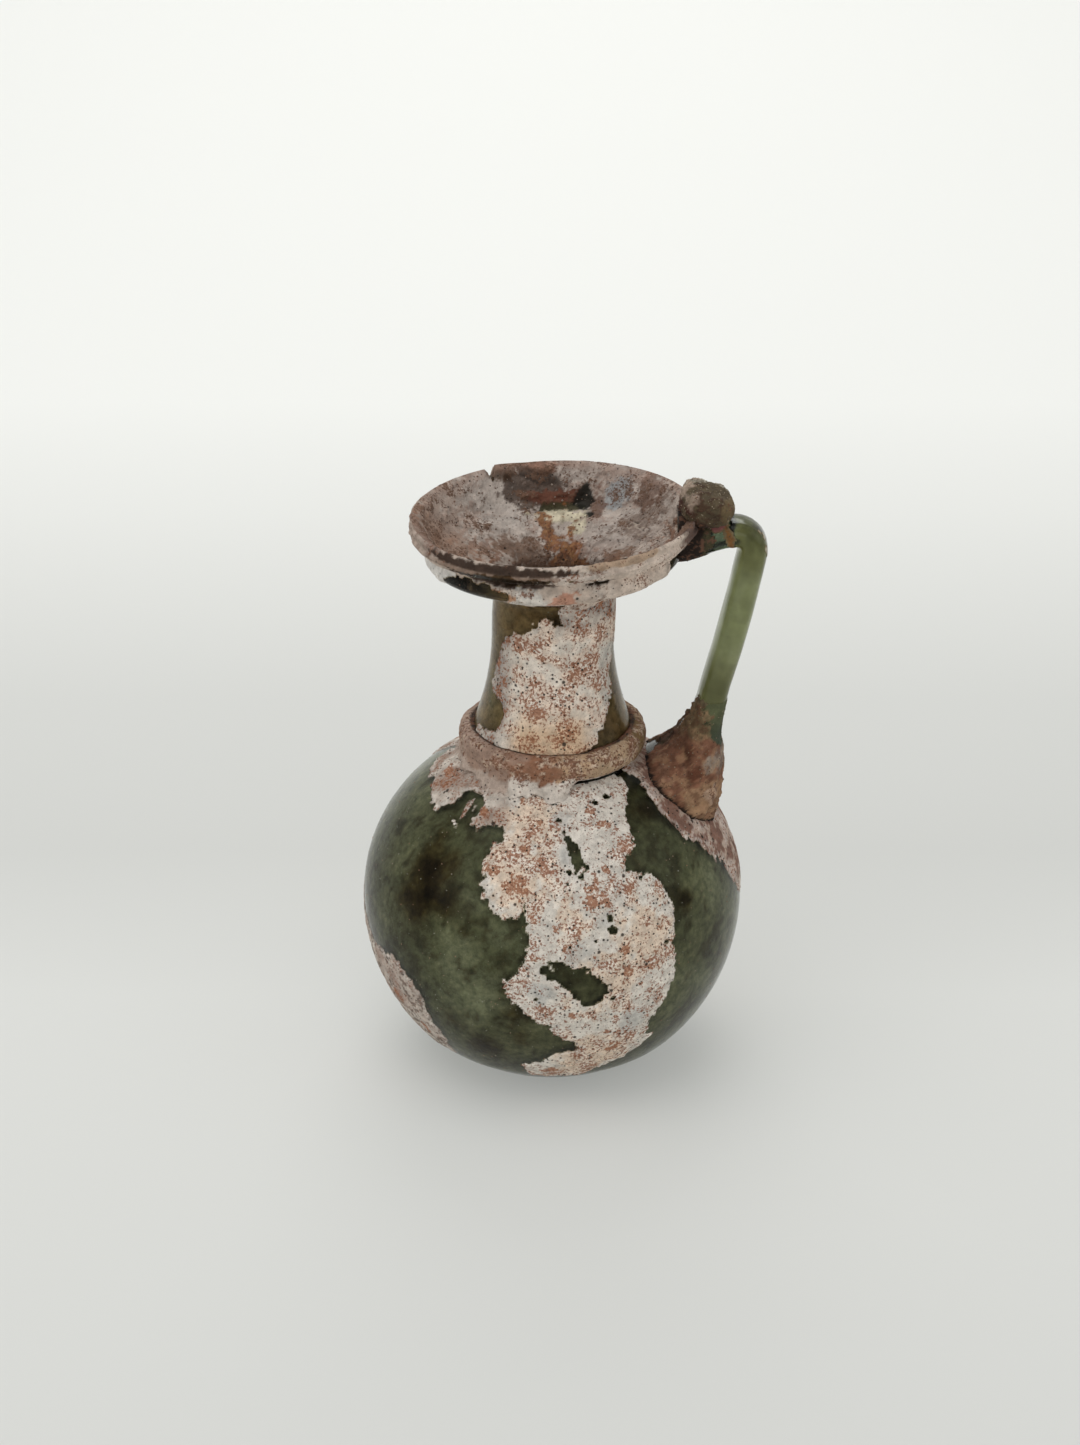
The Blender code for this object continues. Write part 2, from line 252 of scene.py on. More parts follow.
def new_material(name):
    """A material, its node tree and its shader."""
    material = bpy.data.materials.new(name)
    material.use_nodes = True
    tree = material.node_tree
    return material, tree, tree.nodes["Principled BSDF"]


def add(tree, kind, inputs=(), **settings):
    """Adds a node with its own settings, and links or sets its inputs."""
    node = tree.nodes.new(kind)
    for name, value in settings.items():
        setattr(node, name, value)
    for socket, value in dict(inputs).items():
        if isinstance(value, bpy.types.NodeSocket):
            tree.links.new(value, node.inputs[socket])
        else:
            node.inputs[socket].default_value = value
    return node


def glass_depth(line):
    """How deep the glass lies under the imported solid's face, which stands for the top of the crust."""
    heights = (0.5, FOOT_TOP, 84.0, 90.0, 117.0, 124.0)
    return np.interp(line[:, 1], heights, (0.0, 0.36, 0.36, 0.12, 0.12, CRUST))[:, None]


# Bottle glass coloured by iron, blown: dark olive, its skin dulled by centuries in the ground, so
# that it shows broad soft glints and no sharp reflections. The tint holds its brown iron stains, and
# the vessel's lower refraction stands for the weathered skin, which hardly mirrors anything.
def olive_glass(name, roughness, grain, ior=1.5):
    material, tree, shader = new_material(name)
    place = add(tree, "ShaderNodeTexCoord").outputs["Object"]
    tint = add(tree, "ShaderNodeAttribute", attribute_name="tint").outputs["Color"]
    mottle = add(tree, "ShaderNodeTexNoise", {
        "Vector": place, "Scale": 1000.0 / grain, "Detail": 7.0, "Roughness": 0.72})
    share = add(tree, "ShaderNodeMapRange", {
        "Value": mottle.outputs["Fac"], "From Min": 0.34, "From Max": 0.66, "To Min": 0.62, "To Max": 1.30})
    mottled = add(tree, "ShaderNodeVectorMath", {
        0: tint, "Scale": share.outputs["Result"]}, operation="SCALE")
    tree.links.new(mottled.outputs["Vector"], shader.inputs["Base Color"])
    shader.inputs["Transmission Weight"].default_value = 1.0
    shader.inputs["IOR"].default_value = ior
    shader.inputs["Specular IOR Level"].default_value = 0.07
    shader.inputs["Specular Tint"].default_value = (0.45, 0.46, 0.42, 1.0)
    dulling = add(tree, "ShaderNodeMapRange", {
        "Value": mottle.outputs["Fac"], "From Min": 0.35, "From Max": 0.65,
        "To Min": roughness * 0.6, "To Max": roughness * 1.4})
    tree.links.new(dulling.outputs["Result"], shader.inputs["Roughness"])
    etched = add(tree, "ShaderNodeTexNoise", {"Vector": place, "Scale": 1000.0 / 1.2, "Detail": 4.0})
    bump = add(tree, "ShaderNodeBump", {
        "Height": etched.outputs["Fac"], "Strength": 0.20, "Distance": 0.0002})
    tree.links.new(bump.outputs["Normal"], shader.inputs["Normal"])
    return material


def clouds(places, grain, seed, octaves=4):
    """Cloudy noise from about -1 to 1, whose largest clouds are a grain across, in millimetres."""
    away = Vector((seed * 13.7, seed * 5.3, seed * 9.1))
    flat = (places.reshape(-1, 3) / grain).tolist()
    values = [noise.fractal(Vector(place) + away, 0.9, 2.0, octaves) for place in flat]
    return np.array(values).reshape(places.shape[:-1])


def paint(tint, colour, share):
    """Mixes a share of a hex colour into the tint."""
    share = np.clip(share, 0.0, 1.0)[..., None]
    tint[:] = tint * (1.0 - share) + np.array(srgb(colour)) * share


def plain(places, colour):
    return np.ones(places.shape) * np.array(srgb(colour))


def around_spot(places, along, spot):
    """Distance from a spot (azimuth, along, ...) in millimetres, measured round and up the surface."""
    radius = np.maximum(np.hypot(places[..., 0], places[..., 1]), 4.0)
    across = turned_by(azimuth_of(places), spot[0]) * math.pi / 180.0 * radius
    return np.hypot(across, along - spot[1])


def spotted(places, along, spots, soft=1.0):
    """How deep each place lies inside the nearest of some round spots (azimuth, along, radius)."""
    depth = np.full(places.shape[:-1], -1e3)
    for spot in spots:
        depth = np.maximum(depth, (spot[2] - around_spot(places, along, spot)) / soft)
    return depth


GLASS_STEP = 1.2
GLASS_COLUMNS = 240
BROWN_STAINS = (
    (-44, 73, 10), (-50, 65, 7), (-45, 65, 8), (-46, 81, 6), (-38, 66, 7), (-27, 60, 4), (-16, 47, 7),
    (-12, 40, 6), (-10, 60, 2.5), (-23, 26, 6), (-10, 32, 4), (-33, 34, 5), (46, 64, 5), (46, 88, 6),
    (120, 60, 16), (-140, 45, 15), (170, 80, 12), (-170, 60, 10),
)
GREY_HAZE = (
    (-25, 69, 5), (-15, 63, 8), (-26, 43, 12), (-30, 54, 8), (-60, 40, 9), (58, 62, 6), (50, 41, 9),
    (72, 56, 12), (100, 30, 14), (-120, 70, 14),
)
foot_ring = np.array([(0.8, 0.7), (9.0, 0.6), (15.0, 0.4), (18.5, 0.1), (FOOT_RADIUS, 0.0)])
glass_belly = even_line(belly_outside, GLASS_STEP)
belly_curve = belly_line(0.0, shoulder_top)
curve_climb = np.concatenate([[0.0], np.cumsum(np.hypot(*np.diff(belly_curve, axis=0).T))])
outside = np.concatenate([
    glass_belly,
    even_line(neck_line(NECK_FOOT, NECK_TOP - 3.0), GLASS_STEP),
    even_line(bowl_outside, 0.5),
])
outside = np.concatenate([foot_ring, offset_line(outside, -glass_depth(outside))])
outside[:, 1] = np.maximum(outside[:, 1], 0.0)
inner_floor = np.array([(FOOT_RADIUS - 1.0, FLOOR_THICKNESS), (FOOT_RADIUS + 3.5, FLOOR_THICKNESS + 1.0)])
inner_belly = offset_line(belly_line(FLOOR_THICKNESS + 3.0, shoulder_top), -BELLY_WALL)
inner_belly = inner_belly[inner_belly[:, 1] > FLOOR_THICKNESS + 1.5]
inner_neck = offset_line(neck_line(NECK_FOOT, NECK_TOP - 3.0), -NECK_WALL)
inside = np.concatenate([
    even_line(np.concatenate([inner_floor, inner_belly]), GLASS_STEP),
    even_line(inner_neck, GLASS_STEP),
    even_line(bowl_inside[::-1][1:-1], 0.6),
])
inside[-8:, 1] -= CRUST * np.linspace(0.0, 1.0, 8)
vessel_line = np.concatenate([outside, inside[::-1]])
vessel_round = spun(vessel_line, GLASS_COLUMNS)
glass_along = np.interp(vessel_line[:, 1], belly_curve[:, 1], curve_climb)
glass_along = np.repeat(glass_along[:, None], GLASS_COLUMNS, axis=1)
broad = clouds(vessel_round, 18.0, 1)
middle = clouds(vessel_round, 5.0, 2, 5)
tint = plain(vessel_round, "a7aa95")
paint(tint, "8d8d78", 0.45 + 1.1 * broad + 0.5 * middle)
paint(tint, "c6c8b4", 1.6 * middle - 0.2)
stained = spotted(vessel_round, glass_along, BROWN_STAINS, 5.0) + 0.5 * broad + 0.7 * middle
paint(tint, "5f4d26", 0.95 * ease(stained))
paint(tint, "2a1d0c", 0.95 * ease((stained - 0.8) / 0.7))
hazy = spotted(vessel_round, glass_along, GREY_HAZE, 7.0) + 0.9 * middle
paint(tint, "d3d8c8", 0.75 * ease(hazy))
above_collar = ease((vessel_round[..., 2] - 84.0) / 3.0)
paint(tint, "c8b594", above_collar * (0.85 + 0.8 * middle))
paint(tint, "a2957f", above_collar * ease((0.9 * broad + 0.8 * middle) / 0.5))
vessel_glass = olive_glass("dark_olive_blown_glass", 0.17, 3.0, ior=1.25)
vessel = new_piece("blown_glass", lean(chipped(vessel_round)), vessel_glass, tint=tint, poles=(0, -1))
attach(vessel, "root")
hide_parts("jug")


# Film of burial dirt on the inside of the bubble: brown iron and manganese stain with thin
# grey-green haze, dried onto the inner wall. It is what makes the thick glass look nearly black.
# It lies just inside the wall, as if grown into the glass.
FILM_DEPTH = 0.25
FILM_COLUMNS = 220
NECK_FILM_COLUMNS = 160
film_outside = even_line(belly_outside, 1.3)
film_line = offset_line(film_outside, -BELLY_WALL + FILM_DEPTH)
film_line[:, 1] = np.maximum(film_line[:, 1], FLOOR_THICKNESS - FILM_DEPTH)
film_round = spun(film_line, FILM_COLUMNS)
broad = clouds(film_round, 22.0, 3)
middle = clouds(film_round, 4.5, 4, 5)
tint = plain(film_round, "84856c")
paint(tint, "a2a388", 0.4 + 1.4 * broad + 0.6 * middle)
paint(tint, "57503a", 0.8 * ease((1.2 * middle - 0.6 * broad - 0.15) / 0.4))


# The dried dirt is matt and earthy, with grit a millimetre or two across.
def stained_film(name):
    material, tree, shader = new_material(name)
    tint = add(tree, "ShaderNodeAttribute", attribute_name="tint")
    place = add(tree, "ShaderNodeTexCoord")
    grit = add(tree, "ShaderNodeTexNoise", {
        "Vector": place.outputs["Object"], "Scale": 1000.0 / 1.8, "Detail": 6.0, "Roughness": 0.7})
    darker = add(tree, "ShaderNodeMapRange", {
        "Value": grit.outputs["Fac"], "From Min": 0.35, "From Max": 0.68, "To Min": 0.60, "To Max": 1.40})
    scaled = add(tree, "ShaderNodeVectorMath", {
        0: tint.outputs["Color"], "Scale": darker.outputs["Result"]}, operation="SCALE")
    tree.links.new(scaled.outputs["Vector"], shader.inputs["Base Color"])
    shader.inputs["Roughness"].default_value = 0.9
    return material


film_material = stained_film("brown_burial_film")
film = new_piece("dirt_film_in_belly", film_round, film_material, tint=tint, poles=(0,))
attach(film, "root")

neck_film_line = offset_line(even_line(neck_line(NECK_FOOT - 6.0, NECK_TOP), 1.0), -NECK_WALL + FILM_DEPTH)
neck_film_round = spun(neck_film_line, NECK_FILM_COLUMNS)
middle = clouds(neck_film_round, 5.0, 5, 5)
tint = plain(neck_film_round, "b8a683")
paint(tint, "8a7653", 0.3 + 1.3 * middle)
paint(tint, "a8a184", 0.2 + 1.2 * clouds(neck_film_round, 14.0, 6))
neck_film = new_piece("dirt_film_in_neck", lean(neck_film_round), film_material, tint=tint)
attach(neck_film, "root")


# Weathering crust on the belly: leached glass and lime, grown in pale grey and pinkish flaking
# layers with terracotta and brown stains from the soil. It broke away in places, down to the bare
# glass, and left ragged raised edges. The outlines follow the photo in front and are made up behind.
FRONT_PATCH = (
    (-112, 118), (-106, 92), (-97, 89), (-85, 89), (-77, 89), (-69, 86), (-61, 85), (-55, 88), (-52, 94),
    (-42, 95), (-38, 93), (-37, 90), (-39, 87), (-33, 86), (-27, 88), (-22, 88), (-20, 84), (-24, 83),
    (-25, 77), (-25, 73), (-23, 70), (-18, 66), (-11, 66), (-9, 69), (-8, 63), (-6, 57), (-10, 52),
    (-14, 49), (-13, 45), (-7, 40), (0, 36), (4, 32), (11, 28), (0, 25), (-11, 18), (-9, 13), (9, 12),
    (25, 18), (35, 27), (31, 31), (36, 39), (40, 48), (37, 55), (41, 62), (39, 68), (35, 73), (26, 75),
    (26, 80), (32, 81), (36, 88), (44, 94), (50, 98), (53, 118),
)
LOWER_LEFT_PATCH = (
    (-80, 46), (-70, 43), (-64, 44), (-57, 45), (-49, 41), (-44, 36), (-43, 30), (-42, 23), (-44, 15),
    (-58, 13), (-74, 20), (-90, 28), (-104, 36), (-108, 46), (-94, 52),
)
HANDLE_PATCH = (
    (60, 118), (60, 95), (56, 90), (54, 83), (57, 78), (62, 75), (65, 70), (71, 66), (74, 61), (80, 54),
    (92, 51), (104, 55), (110, 66), (121, 74), (127, 86), (124, 118),
)
BACK_PATCH = (
    (124, 118), (128, 88), (140, 76), (152, 74), (160, 60), (166, 44), (178, 32), (196, 30), (206, 42),
    (204, 54), (214, 62), (224, 76), (238, 82), (250, 92), (252, 118),
)
LOW_BACK_PATCH = ((112, 38), (128, 44), (142, 36), (150, 22), (136, 10), (118, 14), (106, 24))
GLASS_WINDOWS = (
    ((-2, 53), (0, 52), (3, 55), (7, 53), (11, 52), (15, 47), (14, 44), (11, 43), (7, 46), (4, 49), (1, 52)),
    ((6, 85), (8, 83), (10, 80), (12, 78), (10, 76), (8, 78), (7, 82)),
)
SMALL_WINDOWS = (
    (6, 77, 0.9), (18, 65, 1.0), (18.5, 62, 1.3), (13, 60, 0.7), (1.5, 96.5, 0.8), (0, 95, 0.5),
    (3, 90, 0.8), (5, 87, 0.5), (24, 94, 0.7), (22, 92, 0.5), (32, 95, 1.0), (-3, 74, 0.4), (5, 74, 0.5),
    (-1, 55, 0.6), (-5, 45, 0.6), (30, 83, 0.4), (-9, 62, 0.7), (36, 56, 0.8), (18, 44, 0.8), (16, 46, 0.7),
    (5, 59, 0.5), (-16, 50, 0.6), (31, 73, 0.6),
)
WHITE_STREAKS = (
    (-44, 86, -46, 91, 0.22), (-43.5, 87, -44.5, 92, 0.25), (-41, 88, -41, 90.5, 0.22),
    (-47, 85, -44, 84, 0.25), (6, 78, 8, 78.6, 0.3), (9, 76.5, 11, 77.5, 0.3),
)
TERRACOTTA_SPOTS = (
    (13, 70, 3.4), (23, 87, 2.2), (-7, 88, 2.2), (1, 64, 1.8), (8, 63, 1.5), (-22, 76, 2.6), (19, 77, 2.2),
    (24, 71, 1.8), (33, 65, 2.0), (22, 57, 1.9), (12, 56, 1.2), (23, 51, 1.7), (27, 47, 1.0), (18, 33, 1.2),
    (6, 40, 1.8), (33, 60, 1.3), (-6, 66, 1.8), (3, 59, 1.6), (-5, 45, 1.2), (-1, 17, 3.0), (-13, 73, 3.6),
    (-10, 82, 2.4), (18, 92, 1.8), (-17, 95, 2.0), (-2, 77, 1.8), (-35, 90, 2.2), (20, 27, 2.4),
    (30, 52, 1.6), (-78, 94, 2.6), (-50, 90, 1.8), (150, 80, 5.0), (185, 44, 6.0), (170, 60, 5.0),
    (230, 92, 5.0),
    (130, 24, 4.0), (210, 52, 4.0), (-90, 38, 3.0), (-60, 32, 2.4), (-50, 24, 2.4),
)
PINK_CREAM = (
    (-14, 76, 12), (-12, 90, 10), (14, 50, 12), (28, 60, 11), (12, 24, 12), (6, 66, 7), (190, 46, 14),
)
BLUE_GREY = ((7, 81, 4), (10, 57, 4), (6, 56, 3), (-3, 47, 4), (4, 90, 3), (16, 64, 3), (25, 36, 4))


def within(places, along, outline):
    """How far each place lies inside an outline of (azimuth, along) corners, negative outside it."""
    outline = np.array(outline, float)
    centre = (outline[:, 0].min() + outline[:, 0].max()) / 2.0
    round_mm = math.pi / 180.0 * np.maximum(np.hypot(places[..., 0], places[..., 1]), 4.0)
    here_turn = turned_by(azimuth_of(places), centre)
    nearest = np.full(here_turn.shape, 1e3)
    inside_it = np.zeros(here_turn.shape, bool)
    for (turn_a, along_a), (turn_b, along_b) in zip(outline, np.roll(outline, -1, axis=0)):
        turn_a, turn_b = turn_a - centre, turn_b - centre
        to_x, to_y = (here_turn - turn_a) * round_mm, along - along_a
        edge_x, edge_y = (turn_b - turn_a) * round_mm, along_b - along_a
        share = np.clip((to_x * edge_x + to_y * edge_y) / (edge_x ** 2 + edge_y ** 2 + 1e-9), 0.0, 1.0)
        nearest = np.minimum(nearest, np.hypot(to_x - share * edge_x, to_y - share * edge_y))
        if along_a != along_b:
            crosses = (along_a > along) != (along_b > along)
            cut = turn_a + (along - along_a) / (along_b - along_a) * (turn_b - turn_a)
            inside_it ^= crosses & (here_turn < cut)
    return np.where(inside_it, nearest, -nearest)


def along_streak(places, along, streak):
    """How deep each place lies inside a thin streak (azimuth, along, azimuth, along, half its width)."""
    turn_a, along_a, turn_b, along_b, width = streak
    round_mm = math.pi / 180.0 * np.maximum(np.hypot(places[..., 0], places[..., 1]), 4.0)
    to_x, to_y = turned_by(azimuth_of(places), turn_a) * round_mm, along - along_a
    edge_x, edge_y = (turn_b - turn_a) * round_mm, along_b - along_a
    share = np.clip((to_x * edge_x + to_y * edge_y) / (edge_x ** 2 + edge_y ** 2 + 1e-9), 0.0, 1.0)
    return width - np.hypot(to_x - share * edge_x, to_y - share * edge_y)


def crust_relief(places, cover, seed, thickness=0.25, layer=0.12, pitting=0.08):
    """Height of the crust over the glass: ragged steps at its edge, flaking layers and pits on top."""
    over = np.maximum(cover, 0.0)
    relief = thickness * (1.0 - np.exp(-over / 0.25))
    flakes = clouds(places, 6.0, seed + 1, 5)
    relief += layer * (ease((flakes + 0.04) / 0.08) - 0.6) * ease(over / 1.2)
    relief -= pitting * ease((clouds(places, 1.3, seed + 2, 3) - 0.15) / 0.3) * ease(over / 0.6)
    relief += 0.05 * clouds(places, 2.4, seed + 3, 4)
    return np.where(cover > 0.0, relief, np.maximum(cover * 0.7, -0.12))


# The crust's own stuff is lime and leached silica, matt and chalky. Its colour is the tint, freckled
# with rust where the stain asks for it, and full of fine black specks of manganese and open pits.
def chalky_crust(name, rust, deep_rust, patch=1.7, specks=1.0):
    material, tree, shader = new_material(name)
    place = add(tree, "ShaderNodeTexCoord").outputs["Object"]
    tint = add(tree, "ShaderNodeAttribute", attribute_name="tint").outputs["Color"]
    stain = add(tree, "ShaderNodeAttribute", attribute_name="stain").outputs["Fac"]
    flaky = add(tree, "ShaderNodeTexNoise", {
        "Vector": place, "Scale": 1000.0 / 2.4, "Detail": 8.0, "Roughness": 0.72}).outputs["Fac"]
    value = add(tree, "ShaderNodeMapRange", {
        "Value": flaky, "From Min": 0.33, "From Max": 0.64, "To Min": 0.70, "To Max": 1.24})
    varied = add(tree, "ShaderNodeVectorMath", {0: tint, "Scale": value.outputs["Result"]}, operation="SCALE")
    torn = add(tree, "ShaderNodeTexNoise", {
        "Vector": place, "Scale": 1000.0 / patch, "Detail": 7.0, "Roughness": 0.8}).outputs["Fac"]
    grain = add(tree, "ShaderNodeTexNoise", {
        "Vector": place, "Scale": 1000.0 / 0.62, "Detail": 3.0, "Roughness": 0.7}).outputs["Fac"]
    both = add(tree, "ShaderNodeMath", {0: grain, 1: 1.3, 2: torn}, operation="MULTIPLY_ADD").outputs["Value"]
    stained = add(tree, "ShaderNodeMath", {0: stain, 1: 0.32, 2: both}, operation="MULTIPLY_ADD")
    rusty = add(tree, "ShaderNodeMapRange", {
        "Value": stained.outputs["Value"], "From Min": 1.28, "From Max": 1.39, "To Min": 0.0, "To Max": 0.9})
    deep = add(tree, "ShaderNodeMapRange", {
        "Value": grain, "From Min": 0.46, "From Max": 0.62, "To Min": 0.0, "To Max": 0.85})
    rust_tone = add(tree, "ShaderNodeMix", {
        "Factor": deep.outputs["Result"], 6: (*srgb(rust), 1.0),
        7: (*srgb(deep_rust), 1.0)}, data_type="RGBA")
    freckled = add(tree, "ShaderNodeMix", {
        "Factor": rusty.outputs["Result"], 6: varied.outputs["Vector"],
        7: rust_tone.outputs[2]}, data_type="RGBA")
    pits = []
    for apart, reach, least in ((1.0, 0.27, 0.12), (2.8, 0.17, 0.50)):
        cells = add(tree, "ShaderNodeTexVoronoi", {
            "Vector": place, "Scale": 1000.0 / apart, "Randomness": 1.0})
        chance = add(tree, "ShaderNodeSeparateColor", {"Color": cells.outputs["Color"]})
        size = add(tree, "ShaderNodeMapRange", {
            "Value": chance.outputs["Red"], "From Min": least, "From Max": 1.0,
            "To Min": 0.0, "To Max": reach * specks})
        depth = add(tree, "ShaderNodeMath", {
            0: cells.outputs["Distance"], 1: size.outputs["Result"]}, operation="SUBTRACT")
        pit = add(tree, "ShaderNodeMapRange", {
            "Value": depth.outputs["Value"], "From Min": -0.05, "From Max": 0.02,
            "To Min": 0.9, "To Max": 0.0})
        pits.append(pit.outputs["Result"])
    dark = add(tree, "ShaderNodeMath", enumerate(pits), operation="MAXIMUM").outputs["Value"]
    pitted = add(tree, "ShaderNodeMix", {
        "Factor": dark, 6: freckled.outputs[2], 7: (*srgb("2b231c"), 1.0)}, data_type="RGBA")
    tree.links.new(pitted.outputs[2], shader.inputs["Base Color"])
    shader.inputs["Roughness"].default_value = 0.9
    shader.inputs["Specular IOR Level"].default_value = 0.25
    raised = add(tree, "ShaderNodeMath", {0: flaky, 1: grain}, operation="ADD")
    lowered = add(tree, "ShaderNodeMath", {0: raised.outputs["Value"], 1: dark}, operation="SUBTRACT")
    bump = add(tree, "ShaderNodeBump", {
        "Height": lowered.outputs["Value"], "Strength": 0.8, "Distance": 0.00045})
    tree.links.new(bump.outputs["Normal"], shader.inputs["Normal"])
    return material


def crusted(name, places, cover, tint, stain, relief, material, leaning=False, chip=False, reach=1e3):
    """A piece of crust over the glass: its top face only, cut off where it dips under the glass."""
    raised = places + facing(places) * relief[..., None]
    spread = np.hypot(raised[..., 0], raised[..., 1])
    raised[..., :2] *= np.minimum(1.0, reach / spread)[..., None]
    if chip:
        raised = chipped(raised)
    if leaning:
        raised = lean(raised)
    raised[..., 2] = np.maximum(raised[..., 2], 0.02)
    piece = new_piece(name, raised, material, keep=cover > 0.0, tint=tint, stain=stain)
    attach(piece, "root")
    return piece


BELLY_COLUMNS = 600
BELLY_MARGIN = 0.20
belly_path = even_line(belly_outside, 0.50)
belly_climb = np.interp(belly_path[:, 1], belly_curve[:, 1], curve_climb)
places = spun(offset_line(belly_path, -glass_depth(belly_path)), BELLY_COLUMNS)
along = np.repeat(belly_climb[:, None], BELLY_COLUMNS, axis=1)
azimuth = azimuth_of(places)
middle = clouds(places, 6.0, 11, 5)
fine = clouds(places, 1.6, 12, 3)
cover = np.full(along.shape, -1e3)
for outline in (FRONT_PATCH, LOWER_LEFT_PATCH, HANDLE_PATCH, BACK_PATCH, LOW_BACK_PATCH):
    cover = np.maximum(cover, within(places, along, outline))
for outline in GLASS_WINDOWS:
    cover = np.minimum(cover, -within(places, along, outline) - 0.6)
cover += (1.3 * middle + fine) * ease((6.0 - np.abs(cover)) / 5.0)
cover = np.minimum(cover, 0.5 * fine - spotted(places, along, SMALL_WINDOWS))
for streak in WHITE_STREAKS:
    cover = np.maximum(cover, along_streak(places, along, streak) + 0.25 * fine)
tint = plain(places, "dbd3c8")
creamy = spotted(places, along, PINK_CREAM, 5.0) + 1.5 * middle + 0.6 * fine
paint(tint, "e0c8b0", 0.75 * ease(creamy))
paint(tint, "e7dfd4", 1.5 * middle - 0.1)
paint(tint, "b3b3af", 0.6 * ease(spotted(places, along, BLUE_GREY, 2.0) + 1.6 * middle))
left_lobe = ease((-16.0 - azimuth) / 10.0) * ease((along - 83.0) / 4.0)
paint(tint, "9f8c7f", 0.85 * left_lobe * (0.8 + 0.9 * middle))
by_handle = ease((44.0 - np.abs(turned_by(azimuth, 92.0))) / 8.0) * ease((along - 52.0) / 8.0)
paint(tint, "b39c8c", 0.92 * by_handle)
paint(tint, "c4b4aa", 0.8 * by_handle * ease((1.3 * middle + 0.5 * fine + 0.08) / 0.25))
paint(tint, "70493b", 0.8 * by_handle * ease((0.6 * fine - 1.2 * middle - 0.12) / 0.2))
low_left = ease((-36.0 - azimuth) / 6.0) * ease((58.0 - along) / 5.0) * (azimuth > -112.0)
paint(tint, "a89488", 0.75 * low_left * (0.8 + middle))
paint(tint, "5f4c40", 0.75 * low_left * ease((1.4 * fine - 0.8 * middle - 0.25) / 0.2))
paint(tint, "e0dad2", 0.5 * ease(1.0 - np.abs(cover - 0.35) / 0.45))
stain = 0.28 + 0.7 * middle - 0.1 * left_lobe - 0.2 * by_handle - 0.6 * low_left
terracotta = ease(spotted(places, along, TERRACOTTA_SPOTS, 1.6) + 1.2 * fine + 0.6 * middle)
stain = np.maximum(stain, terracotta)
stain -= 0.3 * ease(spotted(places, along, BLUE_GREY, 1.5))
crust_material = chalky_crust("pale_weathering_crust", "a87353", "73402a", patch=2.2, specks=1.15)
relief = crust_relief(places, cover, 30, thickness=0.34)
belly_crust = crusted(
    "crust_on_belly", places, cover, tint, stain, relief, crust_material, reach=BELLY_RADIUS - BELLY_MARGIN)


# Collar: a thick thread of the same glass, wound once round the foot of the neck while hot. Crust
# hides all of it, pinkish brown at the left, redder in front and ochre at the right, and fills the
# corner under it on the left and in front. The dark line where its top meets the neck is painted
# shade.
COLLAR_THICKNESS = 5.6
COLLAR_DEPTH = 6.8
COLLAR_DROP = 3.1
COLLAR_SQUARENESS = 2.5
COLLAR_COLUMNS = 360
FILLET_RADIUS = 25.4


def squared_off(angle, squareness):
    """How far a rounded square reaches at an angle: squareness 2 makes it a circle."""
    return (np.abs(np.cos(angle)) ** squareness + np.abs(np.sin(angle)) ** squareness) ** (-1.0 / squareness)


turn = np.radians(np.linspace(-150.0, 172.0, 52))
reach = squared_off(turn, COLLAR_SQUARENESS)
ring_line = np.stack([
    COLLAR_RADIUS + COLLAR_THICKNESS / 2.0 * np.cos(turn) * reach,
    NECK_FOOT - COLLAR_DROP + COLLAR_DEPTH / 2.0 * np.sin(turn) * reach,
], axis=1)
ring_share = np.clip((turn - turn[0]) / math.radians(120.0), 0.0, 1.0)
ring_join = ring_line[np.argmin(np.abs(turn - math.radians(-30.0)))]
fillet_foot = BELLY_HEIGHT + SHOULDER_RISE * math.sqrt(1.0 - (FILLET_RADIUS / BELLY_RADIUS) ** 2) - 0.3
fillet_line = ring_line.copy()
low = ring_share < 1.0
fillet_line[low, 0] = FILLET_RADIUS + (ring_join[0] - FILLET_RADIUS) * ring_share[low]
fillet_line[low, 1] = fillet_foot + (ring_join[1] - fillet_foot) * ring_share[low] ** 1.7
bare_ring = spun(ring_line, COLLAR_COLUMNS)
azimuth = azimuth_of(bare_ring)
broad = clouds(bare_ring, 6.0, 41, 5)
fine = clouds(bare_ring, 1.2, 42, 4)
filled = np.maximum(
    ease((75.0 - np.abs(turned_by(azimuth, -58.0))) / 14.0),
    0.8 * ease((60.0 - np.abs(turned_by(azimuth, 170.0))) / 20.0))
filled = np.clip(filled + 0.5 * broad * (filled > 0.02), 0.0, 1.0)[..., None]
places = bare_ring * (1.0 - filled) + spun(fillet_line, COLLAR_COLUMNS) * filled
collar_rise = 0.22 * broad + 0.12 * fine - 0.12
collar_rise += 0.3 * clouds(bare_ring, 11.0, 43, 2)
places = places + facing(places) * collar_rise[..., None]
tint = plain(places, "9c8272")
paint(tint, "8d654e", ease((34.0 - np.abs(turned_by(azimuth, -4.0))) / 22.0 + broad))
paint(tint, "b0967a", ease(turned_by(azimuth, 10.0) / 14.0 + broad) * (azimuth > 0))
paint(tint, "c2a485", 0.8 * ease(1.6 - np.abs(turned_by(azimuth, 14.0)) / 9.0 + 1.5 * broad))
paint(tint, "76603f", ease((22.0 - np.abs(turned_by(azimuth, 78.0))) / 12.0 + broad))
paint(tint, "b8a294", ease((-40.0 - azimuth) / 20.0) * (0.5 + broad))
paint(tint, "c2ad98", 0.9 * ease((0.9 * broad + 0.7 * fine - 0.08) / 0.35))
under_ring = ease((81.5 - places[..., 2]) / 1.6)
paint(tint, "c0aa9a", 0.8 * under_ring * (0.7 + broad))
skirt = ease((82.5 - places[..., 2] + 1.6 * broad + 0.9 * fine) / 1.0)
paint(tint, "b3a194", 0.95 * skirt)
paint(tint, "d4cabf", 0.9 * skirt * ease((azimuth + 36.0 + 20.0 * broad) / 6.0))
